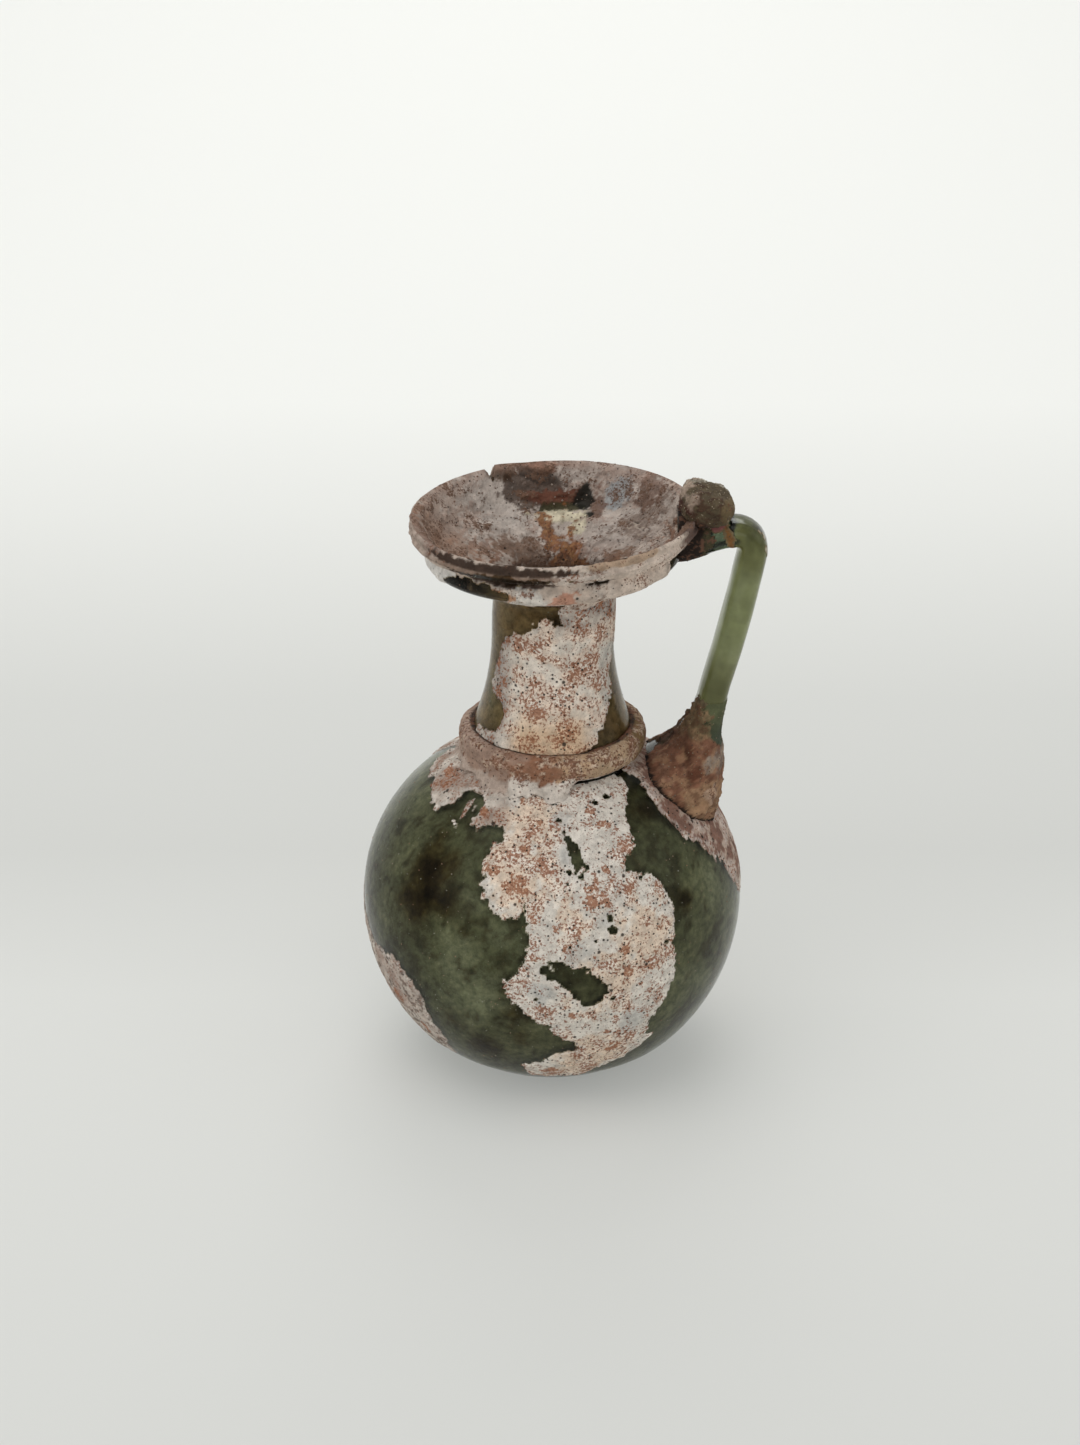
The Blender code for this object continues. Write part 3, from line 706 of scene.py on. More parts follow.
# painted shade: the top of the ring next to the neck darkens, as the shadow in the crease where they meet
painted_gap_shade = ease((20.3 - np.hypot(bare_ring[..., 0], bare_ring[..., 1])) / 0.5 + 0.6 * fine)
painted_gap_shade = painted_gap_shade * (bare_ring[..., 2] > 86.0)
paint(tint, "2b211a", 0.95 * painted_gap_shade)
stain = 0.35 + 0.9 * broad - 0.2 * under_ring - 0.4 * skirt
collar_material = chalky_crust("reddish_collar_crust", "8a604a", "5b3a2a", specks=0.9)
collar = new_piece("crusted_collar", places, collar_material, tint=tint, stain=stain)
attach(collar, "root")


# Crust on the neck: a thick pale sheet down its front and right, with bare brownish glass at its
# upper left, at both sides and low on the right.
NECK_PATCH = (
    (-75, 84), (-74, 90), (-62, 90), (-50, 90.5), (-42, 94), (-46, 98), (-58, 99), (-68, 101), (-64, 106),
    (-56, 110), (-50, 114), (-40, 116), (-28, 117), (-16, 120), (-8, 121), (1, 119.5), (8, 119.5), (5, 122.5),
    (10, 127), (100, 127), (96, 112), (74, 109), (63, 105), (60, 98), (51, 96), (46, 93), (38, 91), (33, 89),
    (20, 88), (18, 84),
)
NECK_BACK_PATCH = (
    (120, 127), (128, 112), (140, 104), (160, 99), (185, 96), (205, 100), (222, 108), (232, 127),
)
NECK_TERRACOTTA = (
    (-34, 92.5, 2.4), (-15, 91.5, 2.2), (-24, 100, 2.6), (6, 93.5, 1.8), (20, 108, 3.6), (28, 105, 2.4),
    (-20, 113, 1.4), (-33, 113, 2.0), (-3, 116, 1.2), (45, 110, 2.4), (52, 116, 2.6), (24, 122, 2.4),
    (36, 98, 2.0), (-20, 106, 1.2), (-33, 106, 1.2), (150, 106, 4.0), (200, 108, 4.0),
)
NECK_COLUMNS = 290
neck_path = np.concatenate([
    neck_line(NECK_FOOT - 2.0, NECK_TOP - 2.5), [(NECK_RADIUS + 0.6, NECK_TOP - 0.3)]])
neck_path = even_line(neck_path, 0.36)
places = spun(offset_line(neck_path, -glass_depth(neck_path)), NECK_COLUMNS)
height = places[..., 2]
azimuth = azimuth_of(places)
middle = clouds(places, 4.0, 51, 5)
fine = clouds(places, 1.3, 52, 3)
cover = within(places, height, NECK_PATCH)
cover = np.maximum(cover, within(places, height, NECK_BACK_PATCH))
cover += (0.9 * middle + 0.9 * fine) * ease((5.0 - np.abs(cover)) / 4.0)
tint = plain(places, "e2d7ca")
paint(tint, "e2cab6", 0.6 + 1.6 * middle)
paint(tint, "ece4d9", 1.5 * middle - 0.05)
ochre_foot = ease((100.0 - height) / 8.0) * ease((40.0 - np.abs(turned_by(azimuth, -2.0))) / 20.0)
paint(tint, "cfae8b", 0.8 * ochre_foot)
left_grey = ease((-32.0 - azimuth) / 14.0) + ease((height - 116.0) / 4.0) * (azimuth > 2)
paint(tint, "a09891", 0.8 * left_grey * (0.9 + middle))
paint(tint, "b8b6b0", 0.6 * ease((azimuth - 44.0) / 8.0) * ease((114.0 - height) / 4.0))
stain = 0.28 + 0.8 * middle + 0.2 * ochre_foot
terracotta = ease(spotted(places, height, NECK_TERRACOTTA, 1.6) + 1.2 * fine + 0.6 * middle)
stain = np.maximum(stain, 0.7 * terracotta)
relief = crust_relief(places, cover, 70, thickness=0.34)
crusted("crust_on_neck", places, cover, tint, stain, relief, crust_material, leaning=True)


# Crust on the outside of the mouth: on the bowl's underside, its short upright side, the groove
# and the folded lip with its thin ridge. Dark brown dirt and painted shade fill the groove and the
# hollow of the lip, and dark glass shows on the underside at the left and beside the handle. The
# crevice between the lip and the handle's run is painted shade, maroon brown.
def zone(centre, level, width, depth):
    """1 in the middle of an oval zone given in degrees and millimetres, 0 at its edge, negative outside."""
    return 1.0 - np.hypot(turned_by(azimuth, centre) / (width / 2.0), (height - level) / (depth / 2.0))


def ragged_zone(colour, share, soft, oval, rough=0.5):
    """Paints an oval zone of the mouth whose edge is ragged, and gives how deep each place lies in it."""
    depth = zone(*oval) + 0.5 * middle + rough * fine
    paint(tint, colour, share * ease(depth / soft))
    return depth


MOUTH_COLUMNS = 600
mouth_line = even_line(bowl_outside, 0.34)
places = spun(offset_line(mouth_line, -glass_depth(mouth_line)), MOUTH_COLUMNS)
height = places[..., 2]
azimuth = azimuth_of(places)
middle = clouds(places, 5.0, 81, 5)
fine = clouds(places, 1.3, 82, 4)
bare = np.maximum.reduce([
    zone(-40.0, BOWL_EDGE + 0.6, 42.0, 6.6), zone(72.0, BOWL_EDGE + 2.0, 20.0, 9.0),
    zone(150.0, BOWL_EDGE - 2.0, 50.0, 6.0), zone(-120.0, BOWL_EDGE - 3.0, 30.0, 5.0)])
cover = np.minimum(1.6, -4.5 * bare) + 1.2 * middle + 0.9 * fine
over_neck = ease((azimuth - 4.0) / 8.0) * ease((104.0 - azimuth) / 8.0)
cover -= 5.0 * ease((NECK_TOP + 1.2 + 1.5 * middle - height) / 1.4) * (1.0 - over_neck)
tint = plain(places, "c2b1a3")
paint(tint, "c9bcb0", 0.5 + 1.8 * middle)
paint(tint, "947f70", ease((1.3 * middle + 0.8 * fine - 0.25) / 0.3) * 0.8)
outside_grey = ease(ragged_zone("dedad4", 0.9, 0.4, (-62.0, BOWL_EDGE + 0.5, 56.0, 12.0), rough=0.0) / 0.4)
left_face = ease((-38.0 - azimuth) / 10.0) * ease((height - GROOVE - 1.6) / 1.0)
paint(tint, "917d72", 0.85 * left_face * (0.85 + middle))
right_side = ease((azimuth - 18.0) / 16.0) * ease((110.0 - azimuth) / 10.0)
paint(tint, "dac8b9", 0.9 * right_side * (0.75 + 1.2 * middle))
lower_band = zone(-22.0, GROOVE + 1.5, 58.0, 4.8) + 0.25 * middle + 0.2 * fine
upper_band = zone(-25.0, GROOVE + 4.5, 70.0, 3.0) + 0.25 * middle + 0.25 * fine
right_gaps = zone(22.0, GROOVE + 0.4, 14.0, 2.4) + 0.7 * middle + 0.5 * fine
back_band = zone(-150.0, GROOVE + 0.3, 120.0, 3.0) + 0.5 * middle + 0.3 * fine
dark = np.maximum.reduce([lower_band, upper_band, right_gaps, back_band])
darkened = ease((dark + 0.06) / 0.2)
# painted shade with brown dirt: dark bands in the groove, the hollow of the lip and the gaps beside them,
# darkest deep in the groove
paint(tint, "3c2b21", 0.97 * darkened)
paint(tint, "2c211a", 0.8 * ease((lower_band - 0.35) / 0.3))
between_bands = zone(-28.0, GROOVE + 3.0, 60.0, 3.8) + 0.5 * middle + 0.3 * fine
paint(tint, "63503f", 0.8 * ease((between_bands - 0.05) / 0.3) * (1.0 - darkened))
ridge = ease(1.3 - np.abs(height - GROOVE - 3.15) / 0.5) * ease((azimuth + 58.0) / 8.0)
paint(tint, "8a7566", 0.85 * ridge * ease((14.0 - azimuth) / 8.0))
ragged_zone("a68a70", 0.8, 0.3, (30.0, LIP_TOP - 0.5, 40.0, 3.4), rough=0.0)
ragged_zone("d6cfc6", 0.9, 0.3, (-10.0, BOWL_EDGE - 0.6, 30.0, 8.0), rough=0.4)
ragged_zone("cdbfb3", 0.9, 0.3, (9.0, GROOVE + 2.0, 22.0, 3.0), rough=0.4)
ragged_zone("a8764f", 0.85, 0.3, (-25.0, BOWL_EDGE + 1.6, 18.0, 2.8))
ragged_zone("b58068", 0.85, 0.3, (4.0, BOWL_EDGE + 0.6, 18.0, 5.5))
# painted shade, maroon brown, in the crevice between the lip and the handle's run
crevice = ease((azimuth - 60.0 + 8.0 * middle) / 5.0) * ease((102.0 - azimuth) / 6.0)
paint(tint, "42241d", 0.85 * crevice * ease((height - GROOVE + 0.5) / 1.5))
stain = -0.05 + 1.1 * middle - 0.7 * ease(dark / 0.3) - 0.6 * outside_grey
mouth_material = chalky_crust("mouth_crust", "98705a", "5f4030", patch=2.2, specks=0.8)
relief = crust_relief(places, cover, 90, thickness=0.36, layer=0.22, pitting=0.12)
relief -= 0.45 * ease(np.maximum(lower_band, right_gaps) / 0.4) * (cover > 0.0)
crusted("crust_on_mouth", places, cover, tint, stain, relief, mouth_material, leaning=True, chip=True)


# Crust inside the bowl: it covers all of it in torn layers, brown at the left and in front, mauve
# grey at the back on both sides of a red-brown ledge with black glass and a painted shadow under it,
# and with a cream and orange runnel of soil from there down into the throat. Painted light and shade
# make the back wall lighter and the front wall darker, and painted shade darkens the throat.
def on_bowl(x, y, width, depth, turn=0.0):
    """1 in the middle of an oval zone of the bowl seen from above, 0 at its edge and negative outside."""
    to_x, to_y = places[..., 0] - x, places[..., 1] - y
    cosine, sine = math.cos(math.radians(turn)), math.sin(math.radians(turn))
    along, across = to_x * cosine + to_y * sine, to_y * cosine - to_x * sine
    return 1.0 - np.hypot(along / (width / 2.0), across / (depth / 2.0))


def ragged_spots(colour, share, rough, soft, *ovals):
    """Paints some oval spots of the bowl as one patch with a rough, soft edge, and gives its depth."""
    depth = np.maximum.reduce([on_bowl(*oval) for oval in ovals]) + rough * ragged
    paint(tint, colour, share * ease(depth / soft))
    return depth


def stretched(places, stretch):
    """Places squeezed round the axis, so that clouds in them run along the lip."""
    radius = np.hypot(places[..., 0], places[..., 1])
    round_mm = np.radians(azimuth_of(places)) * 24.0
    return np.stack([radius, round_mm / stretch, places[..., 2]], axis=-1)


BOWL_COLUMNS = 540
THROAT_DEPTH = 17.0
bowl_line = np.concatenate([bowl_inside, [(throat_radius, NECK_TOP - THROAT_DEPTH)]])
bowl_line = even_line(bowl_line, 0.40)
places = spun(bowl_line[::-1], BOWL_COLUMNS)
flakes = clouds(places, 8.0, 101, 5)
middle = clouds(places, 4.0, 102, 5)
fine = clouds(places, 1.2, 103, 4)
swept = clouds(stretched(places, 4.0), 3.2, 105, 4)
ragged = 0.5 * middle + 0.4 * fine
right_part = ease((places[..., 0] - 12.0) / 8.0)
tint = plain(places, "9b8c81")
paint(tint, "ad9f94", 0.40 + 2.2 * flakes + 0.8 * fine)
paint(tint, "7d5b48", 0.9 * ease((1.2 * swept + 0.8 * fine - 0.03) / 0.18))
brown_left = ragged_spots("8f7361", 0.75, 1.0, 0.4, (-26, 6, 20, 50, 8))
grey_left = ragged_spots("aaa097", 0.75, 1.0, 0.3, (-13, 24, 16, 17, 15))
grey_right = ragged_spots("a0938a", 0.7, 1.0, 0.3, (16, 12, 20, 20, -20))
# painted light and shade: the back wall of the bowl lighter, the front wall darker
paint(tint, "c4b9b0", 0.42 * ease((places[..., 1] - 4.0) / 12.0))
paint(tint, "776358", 0.6 * ease((3.0 - places[..., 1]) / 12.0))
ragged_spots("6e5646", 0.8, 1.2, 0.4, (-8, 12, 21, 9))
ragged_spots("715f53", 0.75, 1.2, 0.4, (21, 14, 15, 13))
ragged_spots("979a9b", 0.8, 1.0, 0.3, (15, 24, 10, 8))
ragged_spots("674838", 0.8, 1.0, 0.3, (11, 24, 5, 8))
ragged_spots("6a4f41", 0.75, 1.0, 0.3, (24, 20, 9, 9))
ragged_spots("4f4037", 0.9, 0.9, 0.3, (-3, 28, 22, 10))
ragged_spots("a3978e", 0.8, 1.0, 0.3, (8, 31, 20, 3.6))
ledge = ragged_spots("684031", 0.95, 0.7, 0.25, (0, 27.4, 14, 4.0, 2))
# painted shadow under the ledge, over dark olive glass
ledge_shadow_and_glass = ragged_spots("3f3b27", 0.95, 0.5, 0.25, (1.5, 24.9, 14, 2.8))
black = ragged_spots("191812", 0.95, 0.8, 0.25, (7.5, 26.0, 5, 5), (8.5, 22.0, 3, 2))
cream = ragged_spots("d4cab0", 0.92, 0.7, 0.3, (1.5, 22.3, 14, 4.6), (5.5, 18.6, 6, 5.0))
runnel = ragged_spots("7a4b2b", 0.92, 1.1, 0.35, (4, 9, 7.5, 25, 4), (-1.0, 17, 5, 14, 24), (7, 8, 4, 9, 15))
paint(tint, "9a7350", 0.7 * ease((runnel - 0.3) / 0.3) * ease((fine + 0.1) / 0.2))
ragged_spots("6a4c38", 0.8, 1.2, 0.3, (16, 4, 8, 7))
rim_strip = ragged_spots("7f5642", 0.9, 0.5, 0.3, (-4.5, 32.6, 14, 3.0, -4))
rim_shadow = ragged_spots("3b3029", 0.9, 0.5, 0.3, (-4.0, 30.6, 14, 2.4, -5))
ragged_spots("44301f", 0.85, 0.6, 0.3, (-13.5, 29.4, 9, 3.4, 20))
torn_edge = ease(1.0 - np.abs(swept - 0.12) / 0.035) * right_part * (places[..., 1] < 18.0)
paint(tint, "34281f", 0.85 * torn_edge)
pale_edge = ease(1.0 - np.abs(swept - 0.20) / 0.05) * right_part * (places[..., 1] < 18.0)
paint(tint, "b9ab9c", 0.7 * pale_edge)
near_lip = ease((places[..., 2] - LIP_TOP + 2.6) / 2.0)
paint(tint, "95796a", 0.6 * near_lip * (0.7 + middle))
lip_right = near_lip * ease((places[..., 0] - 26.0 + 4.0 * middle) / 3.0) * (places[..., 1] < 6.0)
paint(tint, "573f34", 0.8 * lip_right)
# painted shade: darker going down into the throat
throat = ease((NECK_TOP + 2.0 - places[..., 2]) / 6.0)
paint(tint, "5d4a38", 0.7 * throat)
stain = 0.05 + 1.1 * middle + 0.7 * flakes - 0.5 * ease(grey_left / 0.3) - 0.3 * ease(grey_right / 0.3)
stain += 0.3 * ease(brown_left / 0.4)
stain -= 1.5 * np.clip(ease(cream / 0.3) + ease(black / 0.25) + ease(ledge_shadow_and_glass / 0.25), 0.0, 1.0)
bowl_rise = 0.45 * (ease((flakes + 0.03) / 0.05) - 0.5) + 0.22 * middle + 0.14 * fine + 0.25 * swept
bowl_rise += 0.8 * ease(ledge / 0.4) + 0.6 * ease(rim_strip / 0.4) - 0.5 * ease(black / 0.3)
bowl_rise += 0.35 * ease(cream / 0.4) - 0.4 * torn_edge - 0.4 * ease(ledge_shadow_and_glass / 0.3)
bowl_rise -= 0.3 * ease(rim_shadow / 0.3)
bowl_rise -= 0.15 * ease((clouds(places, 1.6, 104, 3) - 0.2) / 0.3)
fade = ease((LIP_TOP - places[..., 2]) / 1.5)
bowl_rise = np.maximum(bowl_rise, -0.22)
bowl_raised = places - facing(places) * ((bowl_rise + 0.35) * fade)[..., None]
bowl_raised = lean(chipped(bowl_raised))
bowl_material = chalky_crust("brown_bowl_crust", "775c4b", "513a2d", patch=2.6, specks=0.8)
turned = np.s_[:, ::-1]
bowl = new_piece(
    "crust_in_bowl", bowl_raised[turned], bowl_material, tint=tint[turned], stain=stain[turned])
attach(bowl, "root")


# Handle: a strap of clearer olive glass, dropped on the shoulder as a hot pad, drawn up and outwards,
# bent over and pressed against the lip. It shows clean and see-through between pad and bend, with
# fine lengthwise streaks from the drawing.
STRAP_THICKNESS = 7.3
STRAP_WIDTH = 10.5
STRAP_SQUARENESS = 2.6
RUN_THICKNESS = 6.8
SHAFT_FOOT = (39.6, 98.8)
BEND_RADIUS = 4.2
RUN_HEIGHT = LIP_TOP + MOUTH_TILT * LIP_RADIUS - 5.8
BEND = (LIP_RADIUS + 8.9, RUN_HEIGHT - BEND_RADIUS)
RUN_END = 29.5
PAD = (
    (35.0, 14.5, 3.6, 9.0), (29.0, 14.5, 4.2, 9.5), (24.0, 12.8, 3.6, 8.4), (20.5, 9.2, 2.8, 6.8),
    (18.0, 5.8, 2.1, 5.0), (15.5, 3.4, 1.3, 3.4), (12.5, 1.8, 0.6, 2.0), (9.0, 0.7, 0.2, 1.0),
    (4.5, 0.0, 0.0, 0.4),
)


def strap_stations():
    """Rows of (x, z, lean, thickness, width) from the pad's root to the end of the run."""
    lean_angle = math.atan2(BEND[0] + BEND_RADIUS - SHAFT_FOOT[0], BEND[1] - SHAFT_FOOT[1])
    rows = []
    for drop, inward, outward, aside in PAD:
        middle_x = SHAFT_FOOT[0] - drop * math.tan(lean_angle) + (outward - inward) / 2.0
        thick = STRAP_THICKNESS + inward + outward
        rows.append((middle_x, SHAFT_FOOT[1] - drop, 0.0, thick, STRAP_WIDTH + 2.0 * aside))
    top = (BEND[0] + BEND_RADIUS * math.cos(lean_angle), BEND[1] - BEND_RADIUS * math.sin(lean_angle))
    for share in np.linspace(0.0, 0.98, 8):
        x = SHAFT_FOOT[0] + (top[0] - SHAFT_FOOT[0]) * share + 0.4 * math.sin(math.pi * share)
        z = SHAFT_FOOT[1] + (top[1] - SHAFT_FOOT[1]) * share
        rows.append((x, z, lean_angle * float(ease(share * 2.0)), STRAP_THICKNESS, STRAP_WIDTH))
    for share in np.linspace(0.0, 1.0, 10):
        turned = lean_angle - (lean_angle + math.pi / 2.0) * share
        x, z = BEND[0] + BEND_RADIUS * math.cos(turned), BEND[1] - BEND_RADIUS * math.sin(turned)
        rows.append((x, z, turned, STRAP_THICKNESS + (RUN_THICKNESS - STRAP_THICKNESS) * share, STRAP_WIDTH))
    for share in np.linspace(0.15, 1.0, 6):
        swell = 5.0 * float(ease(share))
        x = BEND[0] + (RUN_END - BEND[0]) * share
        z = RUN_HEIGHT - 0.8 * float(ease(share))
        rows.append((x, z, -math.pi / 2.0, RUN_THICKNESS + swell, STRAP_WIDTH + swell))
    return np.array(rows)


def strap_places(step, sides, inset=0.0):
    """Rows of places round the strap, one row at every step along it."""
    stations = strap_stations()
    lengths = np.concatenate([[0.0], np.cumsum(np.hypot(*np.diff(stations[:, :2], axis=0).T))])
    at = np.linspace(0.0, lengths[-1], round(lengths[-1] / step))
    rows = np.stack([np.interp(at, lengths, stations[:, part]) for part in range(5)], axis=1)
    for _ in range(round(1.2 / step) ** 2 // 2 + 1):
        rows[1:-1] = (rows[:-2] + 2.0 * rows[1:-1] + rows[2:]) / 4.0
    x, z, turned, thickness, width = (rows[:, part][:, None] for part in range(5))
    angle = np.arange(sides)[None, :] * math.tau / sides
    reach = squared_off(angle, STRAP_SQUARENESS)
    out = (thickness / 2.0 - inset) * np.cos(angle) * reach
    aside = (width / 2.0 - inset) * np.sin(angle) * reach
    return np.stack(np.broadcast_arrays(x + out * np.cos(turned), aside, z - out * np.sin(turned)), axis=-1)


def near_spots(places, spots):
    """How deep each place lies inside the nearest of some round spots (x, y, z, radius)."""
    depth = np.full(places.shape[:-1], -1e3)
    for x, y, z, radius in spots:
        depth = np.maximum(depth, radius - np.linalg.norm(places - np.array((x, y, z)), axis=-1))
    return depth


strap = strap_places(0.8, 72, inset=0.05)
streaky = clouds(strap * (0.3, 2.0, 0.12), 2.2, 122, 4)
strap += facing(strap) * (0.10 * clouds(strap, 9.0, 121, 2) + 0.05 * streaky)[..., None]
tint = plain(strap, "767b55")
paint(tint, "868a6a", 0.35 + 1.6 * streaky)
in_bend = ease((strap[..., 2] - 124.0) / 8.0)
paint(tint, "53532f", 0.9 * in_bend * (0.9 + 0.8 * streaky))
paint(tint, "4f5a46", ease((44.0 - strap[..., 0]) / 3.0) * (strap[..., 2] > 128.0))
paint(tint, "616240", ease((110.0 - strap[..., 2]) / 12.0))
strap_glass = olive_glass("clear_olive_strap_glass", 0.14, 5.0)
handle = new_piece("glass_strap", strap, strap_glass, tint=tint, poles=(0, -1))
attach(handle, "root")


# Crust on the pad and on parts of the strap: terracotta and dark red-brown over the pad, grainy
# ochre and grey where it ends on the shaft, with a black crack where pad and shoulder meet, and
# small flecks and a rusty band higher up.
CRUST_STEP = 0.36
CRUST_SIDES = 170
PAD_TOP = 95.0
SHAFT_FROM = 97.0
FLECKS = (
    (50.3, -2.6, 137.4, 0.8), (49.6, -3.0, 138.9, 0.6), (50.8, -3.4, 134.3, 0.9), (51.0, -3.0, 133.2, 0.6),
    (50.9, -3.2, 131.3, 0.4), (46.5, -5.2, 112.0, 0.3), (44.2, -5.2, 104.5, 0.35), (42.6, -5.4, 97.5, 0.4),
    (51.2, 3.0, 130.0, 0.7), (48.9, -3.4, 122.0, 0.3),
)
places = strap_places(CRUST_STEP, CRUST_SIDES)
strap_x, strap_z = places[..., 0], places[..., 2]
middle = clouds(places, 4.0, 131, 5)
fine = clouds(places, 1.1, 132, 4)
right_edge = np.interp(strap_z, (77.0, 80.0, 83.0, 86.0, 94.0), (46.0, 42.2, 40.9, 38.8, 37.4))
bare_side = ease((strap_x - right_edge + 1.6 * middle + 0.8 * fine + 0.3) / 0.6)
bare_side = bare_side * (strap_z < SHAFT_FROM) * (strap_z > 76.0)
pad_cover = PAD_TOP - strap_z - 1.1 * np.maximum(0.0, 35.0 - strap_x)
pad_cover = pad_cover + (1.8 * middle + 1.3 * fine) * (1.0 - bare_side)
pad_cover -= 5.0 * ease((places[..., 1] + 2.0) / 3.0)
fleck_cover = near_spots(places, FLECKS) + 0.8 * fine - 0.1
band = 0.75 - np.abs(strap_x + 0.35 * (strap_z - 137.0) - 41.8) + 0.7 * middle + 0.5 * fine
band_cover = np.where((strap_z > 134.5) & (strap_x < 46.0), band, -9.0)
run_cover = np.where(strap_z > 128.0, 36.9 - strap_x + 2.2 * middle + 0.8 * fine, -9.0)
pink_spot = near_spots(places, ((38.5, -4.2, 141.0, 2.2),)) + 0.8 * middle
cover = np.maximum.reduce([pad_cover, fleck_cover, band_cover, run_cover, pink_spot])


def patch_on_pad(x, z, radius):
    """1 well inside a ragged round patch of the pad seen from the front, 0 outside it."""
    return ease((radius - np.hypot(strap_x - x, strap_z - z) + 2.6 * middle + 0.8 * fine) / 1.2)


tint = plain(places, "7f5844")
paint(tint, "8c6955", 0.8 * ease((1.3 * middle + 0.9 * fine) / 0.25))
paint(tint, "7a6a4e", ease((strap_z - 85.0) / 3.0 + 1.2 * middle))
for colour, share, patch in (
    ("9a7a5e", 0.90, (36.0, 72.5, 5.8)), ("bb9f89", 0.85, (38.2, 73.2, 1.7)),
    ("938679", 0.90, (39.8, 80.5, 3.6)), ("5c3524", 0.85, (33.2, 83.5, 2.6)),
    ("5c3524", 0.85, (34.6, 78.6, 2.2)), ("472b1c", 0.85, (33.0, 81.9, 2.2)),
):
    paint(tint, colour, share * patch_on_pad(*patch))
on_pad = strap_z < 96.0
gritty = clouds(places, 1.9, 133, 5)
paint(tint, "a98766", 0.4 * ease((gritty - 0.16) / 0.12) * on_pad)
paint(tint, "5c3c2a", 0.55 * ease((-gritty - 0.16) / 0.14) * on_pad)
shaded_side = ease((39.0 - strap_x + 3.0 * middle) / 9.0) * ease((strap_z - 81.0) / 5.0) * on_pad
paint(tint, "523828", 0.6 * shaded_side)
paint(tint, "3c281d", 0.9 * patch_on_pad(26.8, 83.4, 2.6))
paint(tint, "50493a", 0.7 * ease((1.4 - pad_cover) / 1.4) * (strap_z > 77.0) * (strap_z < SHAFT_FROM))
paint(tint, "575b40", bare_side)
paint(tint, "424838", bare_side * ease((93.0 - strap_z) / 7.0))
paint(tint, "2f1e16", 0.9 * patch_on_pad(23.5, 87.5, 2.6))
paint(tint, "c9c2b2", ease(fleck_cover / 0.1) * (strap_z > 96.0))
paint(tint, "7f5a34", ease(band_cover / 0.4) * (strap_z > 130.0) * (strap_x > 37.5))
under_run = ease((39.5 - strap_x) / 1.5) * (strap_z > 124.0)
paint(tint, "46402c", under_run)
paint(tint, "221812", under_run * ease((36.0 - strap_x + 2.0 * middle) / 1.5))
paint(tint, "6b4c3c", 0.8 * under_run * ease((fine - 0.1) / 0.2))
paint(tint, "93605a", ease(pink_spot / 0.4))
from_axis = np.hypot(strap_x, places[..., 1])
above_belly = np.hypot(from_axis / BELLY_RADIUS, (strap_z - BELLY_HEIGHT) / SHOULDER_RISE) - 1.0
crack = ease((0.62 - above_belly * 45.0 + 0.6 * fine) / 0.3) * (strap_z < 92.0)
paint(tint, "17100c", 0.95 * crack)
stain = -0.15 + 0.9 * middle - 1.2 * crack - 1.6 * (strap_z > 96.0) - 2.0 * bare_side
strap_rise = crust_relief(places, cover, 140, thickness=0.30, layer=0.30, pitting=0.22)
strap_rise *= np.where(strap_z > SHAFT_FROM, 0.35, 1.0)
strap_rise += np.where(cover > 0.0, (0.55 * middle + 0.20 * fine) * (strap_z < SHAFT_FROM), 0.0)
strap_rise += 1.3 * ease(near_spots(places, ((30.4, -2.5, 91.2, 1.0),)) / 0.9)
strap_rise = np.where(cover > 0.6, np.maximum(strap_rise, 0.10), np.maximum(strap_rise, -0.03))
strap_rise = np.where(bare_side > 0.5, np.clip(strap_rise, 0.03, 0.06), strap_rise)
strap_crust_material = chalky_crust("grainy_brown_crust", "7f5a47", "543627", patch=2.0, specks=0.6)
strap_crust = crusted("crust_on_strap", places, cover, tint, stain, strap_rise, strap_crust_material)


# Thumb rest: the strap's end, folded back on itself over the lip and pressed round. It wears a
# brown, sparkling, sandy crust in front and a smoother grey one on top, and the lip's pinkish
# crust has grown over its left end. Its underside and the low side of its left end, toward the
# lip, are painted darker as shade.
FOLD_LENGTH = 13.4
FOLD_WIDTH = 17.0
FOLD_HEIGHT = 9.3
FOLD_SQUARENESS = 3.0
FOLD_DIP = math.radians(12.0)
FOLD_ROWS = 98
FOLD_SIDES = 170
FOLD_CENTRE = (LIP_RADIUS + 1.9, -0.6, LIP_TOP + MOUTH_TILT * LIP_RADIUS + 1.1)
rise = np.linspace(-math.pi / 2.0, math.pi / 2.0, FOLD_ROWS)[1:-1, None]
angle = np.arange(FOLD_SIDES)[None, :] * math.tau / FOLD_SIDES
direction = np.stack(np.broadcast_arrays(
    np.cos(rise) * np.cos(angle), np.cos(rise) * np.sin(angle), np.sin(rise)), axis=-1)
direction /= (np.abs(direction) ** FOLD_SQUARENESS).sum(axis=-1, keepdims=True) ** (1.0 / FOLD_SQUARENESS)
along = direction[..., 0] * FOLD_LENGTH / 2.0
above = direction[..., 2] * FOLD_HEIGHT / 2.0 * (1.0 - 0.22 * ease((direction[..., 0] - 0.2) / 0.8))
fold = np.stack([
    FOLD_CENTRE[0] + along * math.cos(FOLD_DIP) + above * math.sin(FOLD_DIP),
    FOLD_CENTRE[1] + direction[..., 1] * FOLD_WIDTH / 2.0,
    FOLD_CENTRE[2] - along * math.sin(FOLD_DIP) + above * math.cos(FOLD_DIP),
], axis=-1)
middle = clouds(fold, 5.0, 151, 4)
fine = clouds(fold, 1.0, 152, 4)
fold += facing(fold) * (0.55 * middle + 0.22 * fine - 0.40)[..., None]
top_part = ease((direction[..., 2] - 0.35) / 0.2)
top_part = top_part * ease((direction[..., 1] - 0.30 + 0.6 * middle + 0.25 * fine) / 0.2)
left_part = ease((-direction[..., 0] - 0.62 + 0.5 * middle) / 0.3)
tint = plain(fold, "564a38")
paint(tint, "463426", ease((middle + 0.5 * fine) / 0.3))
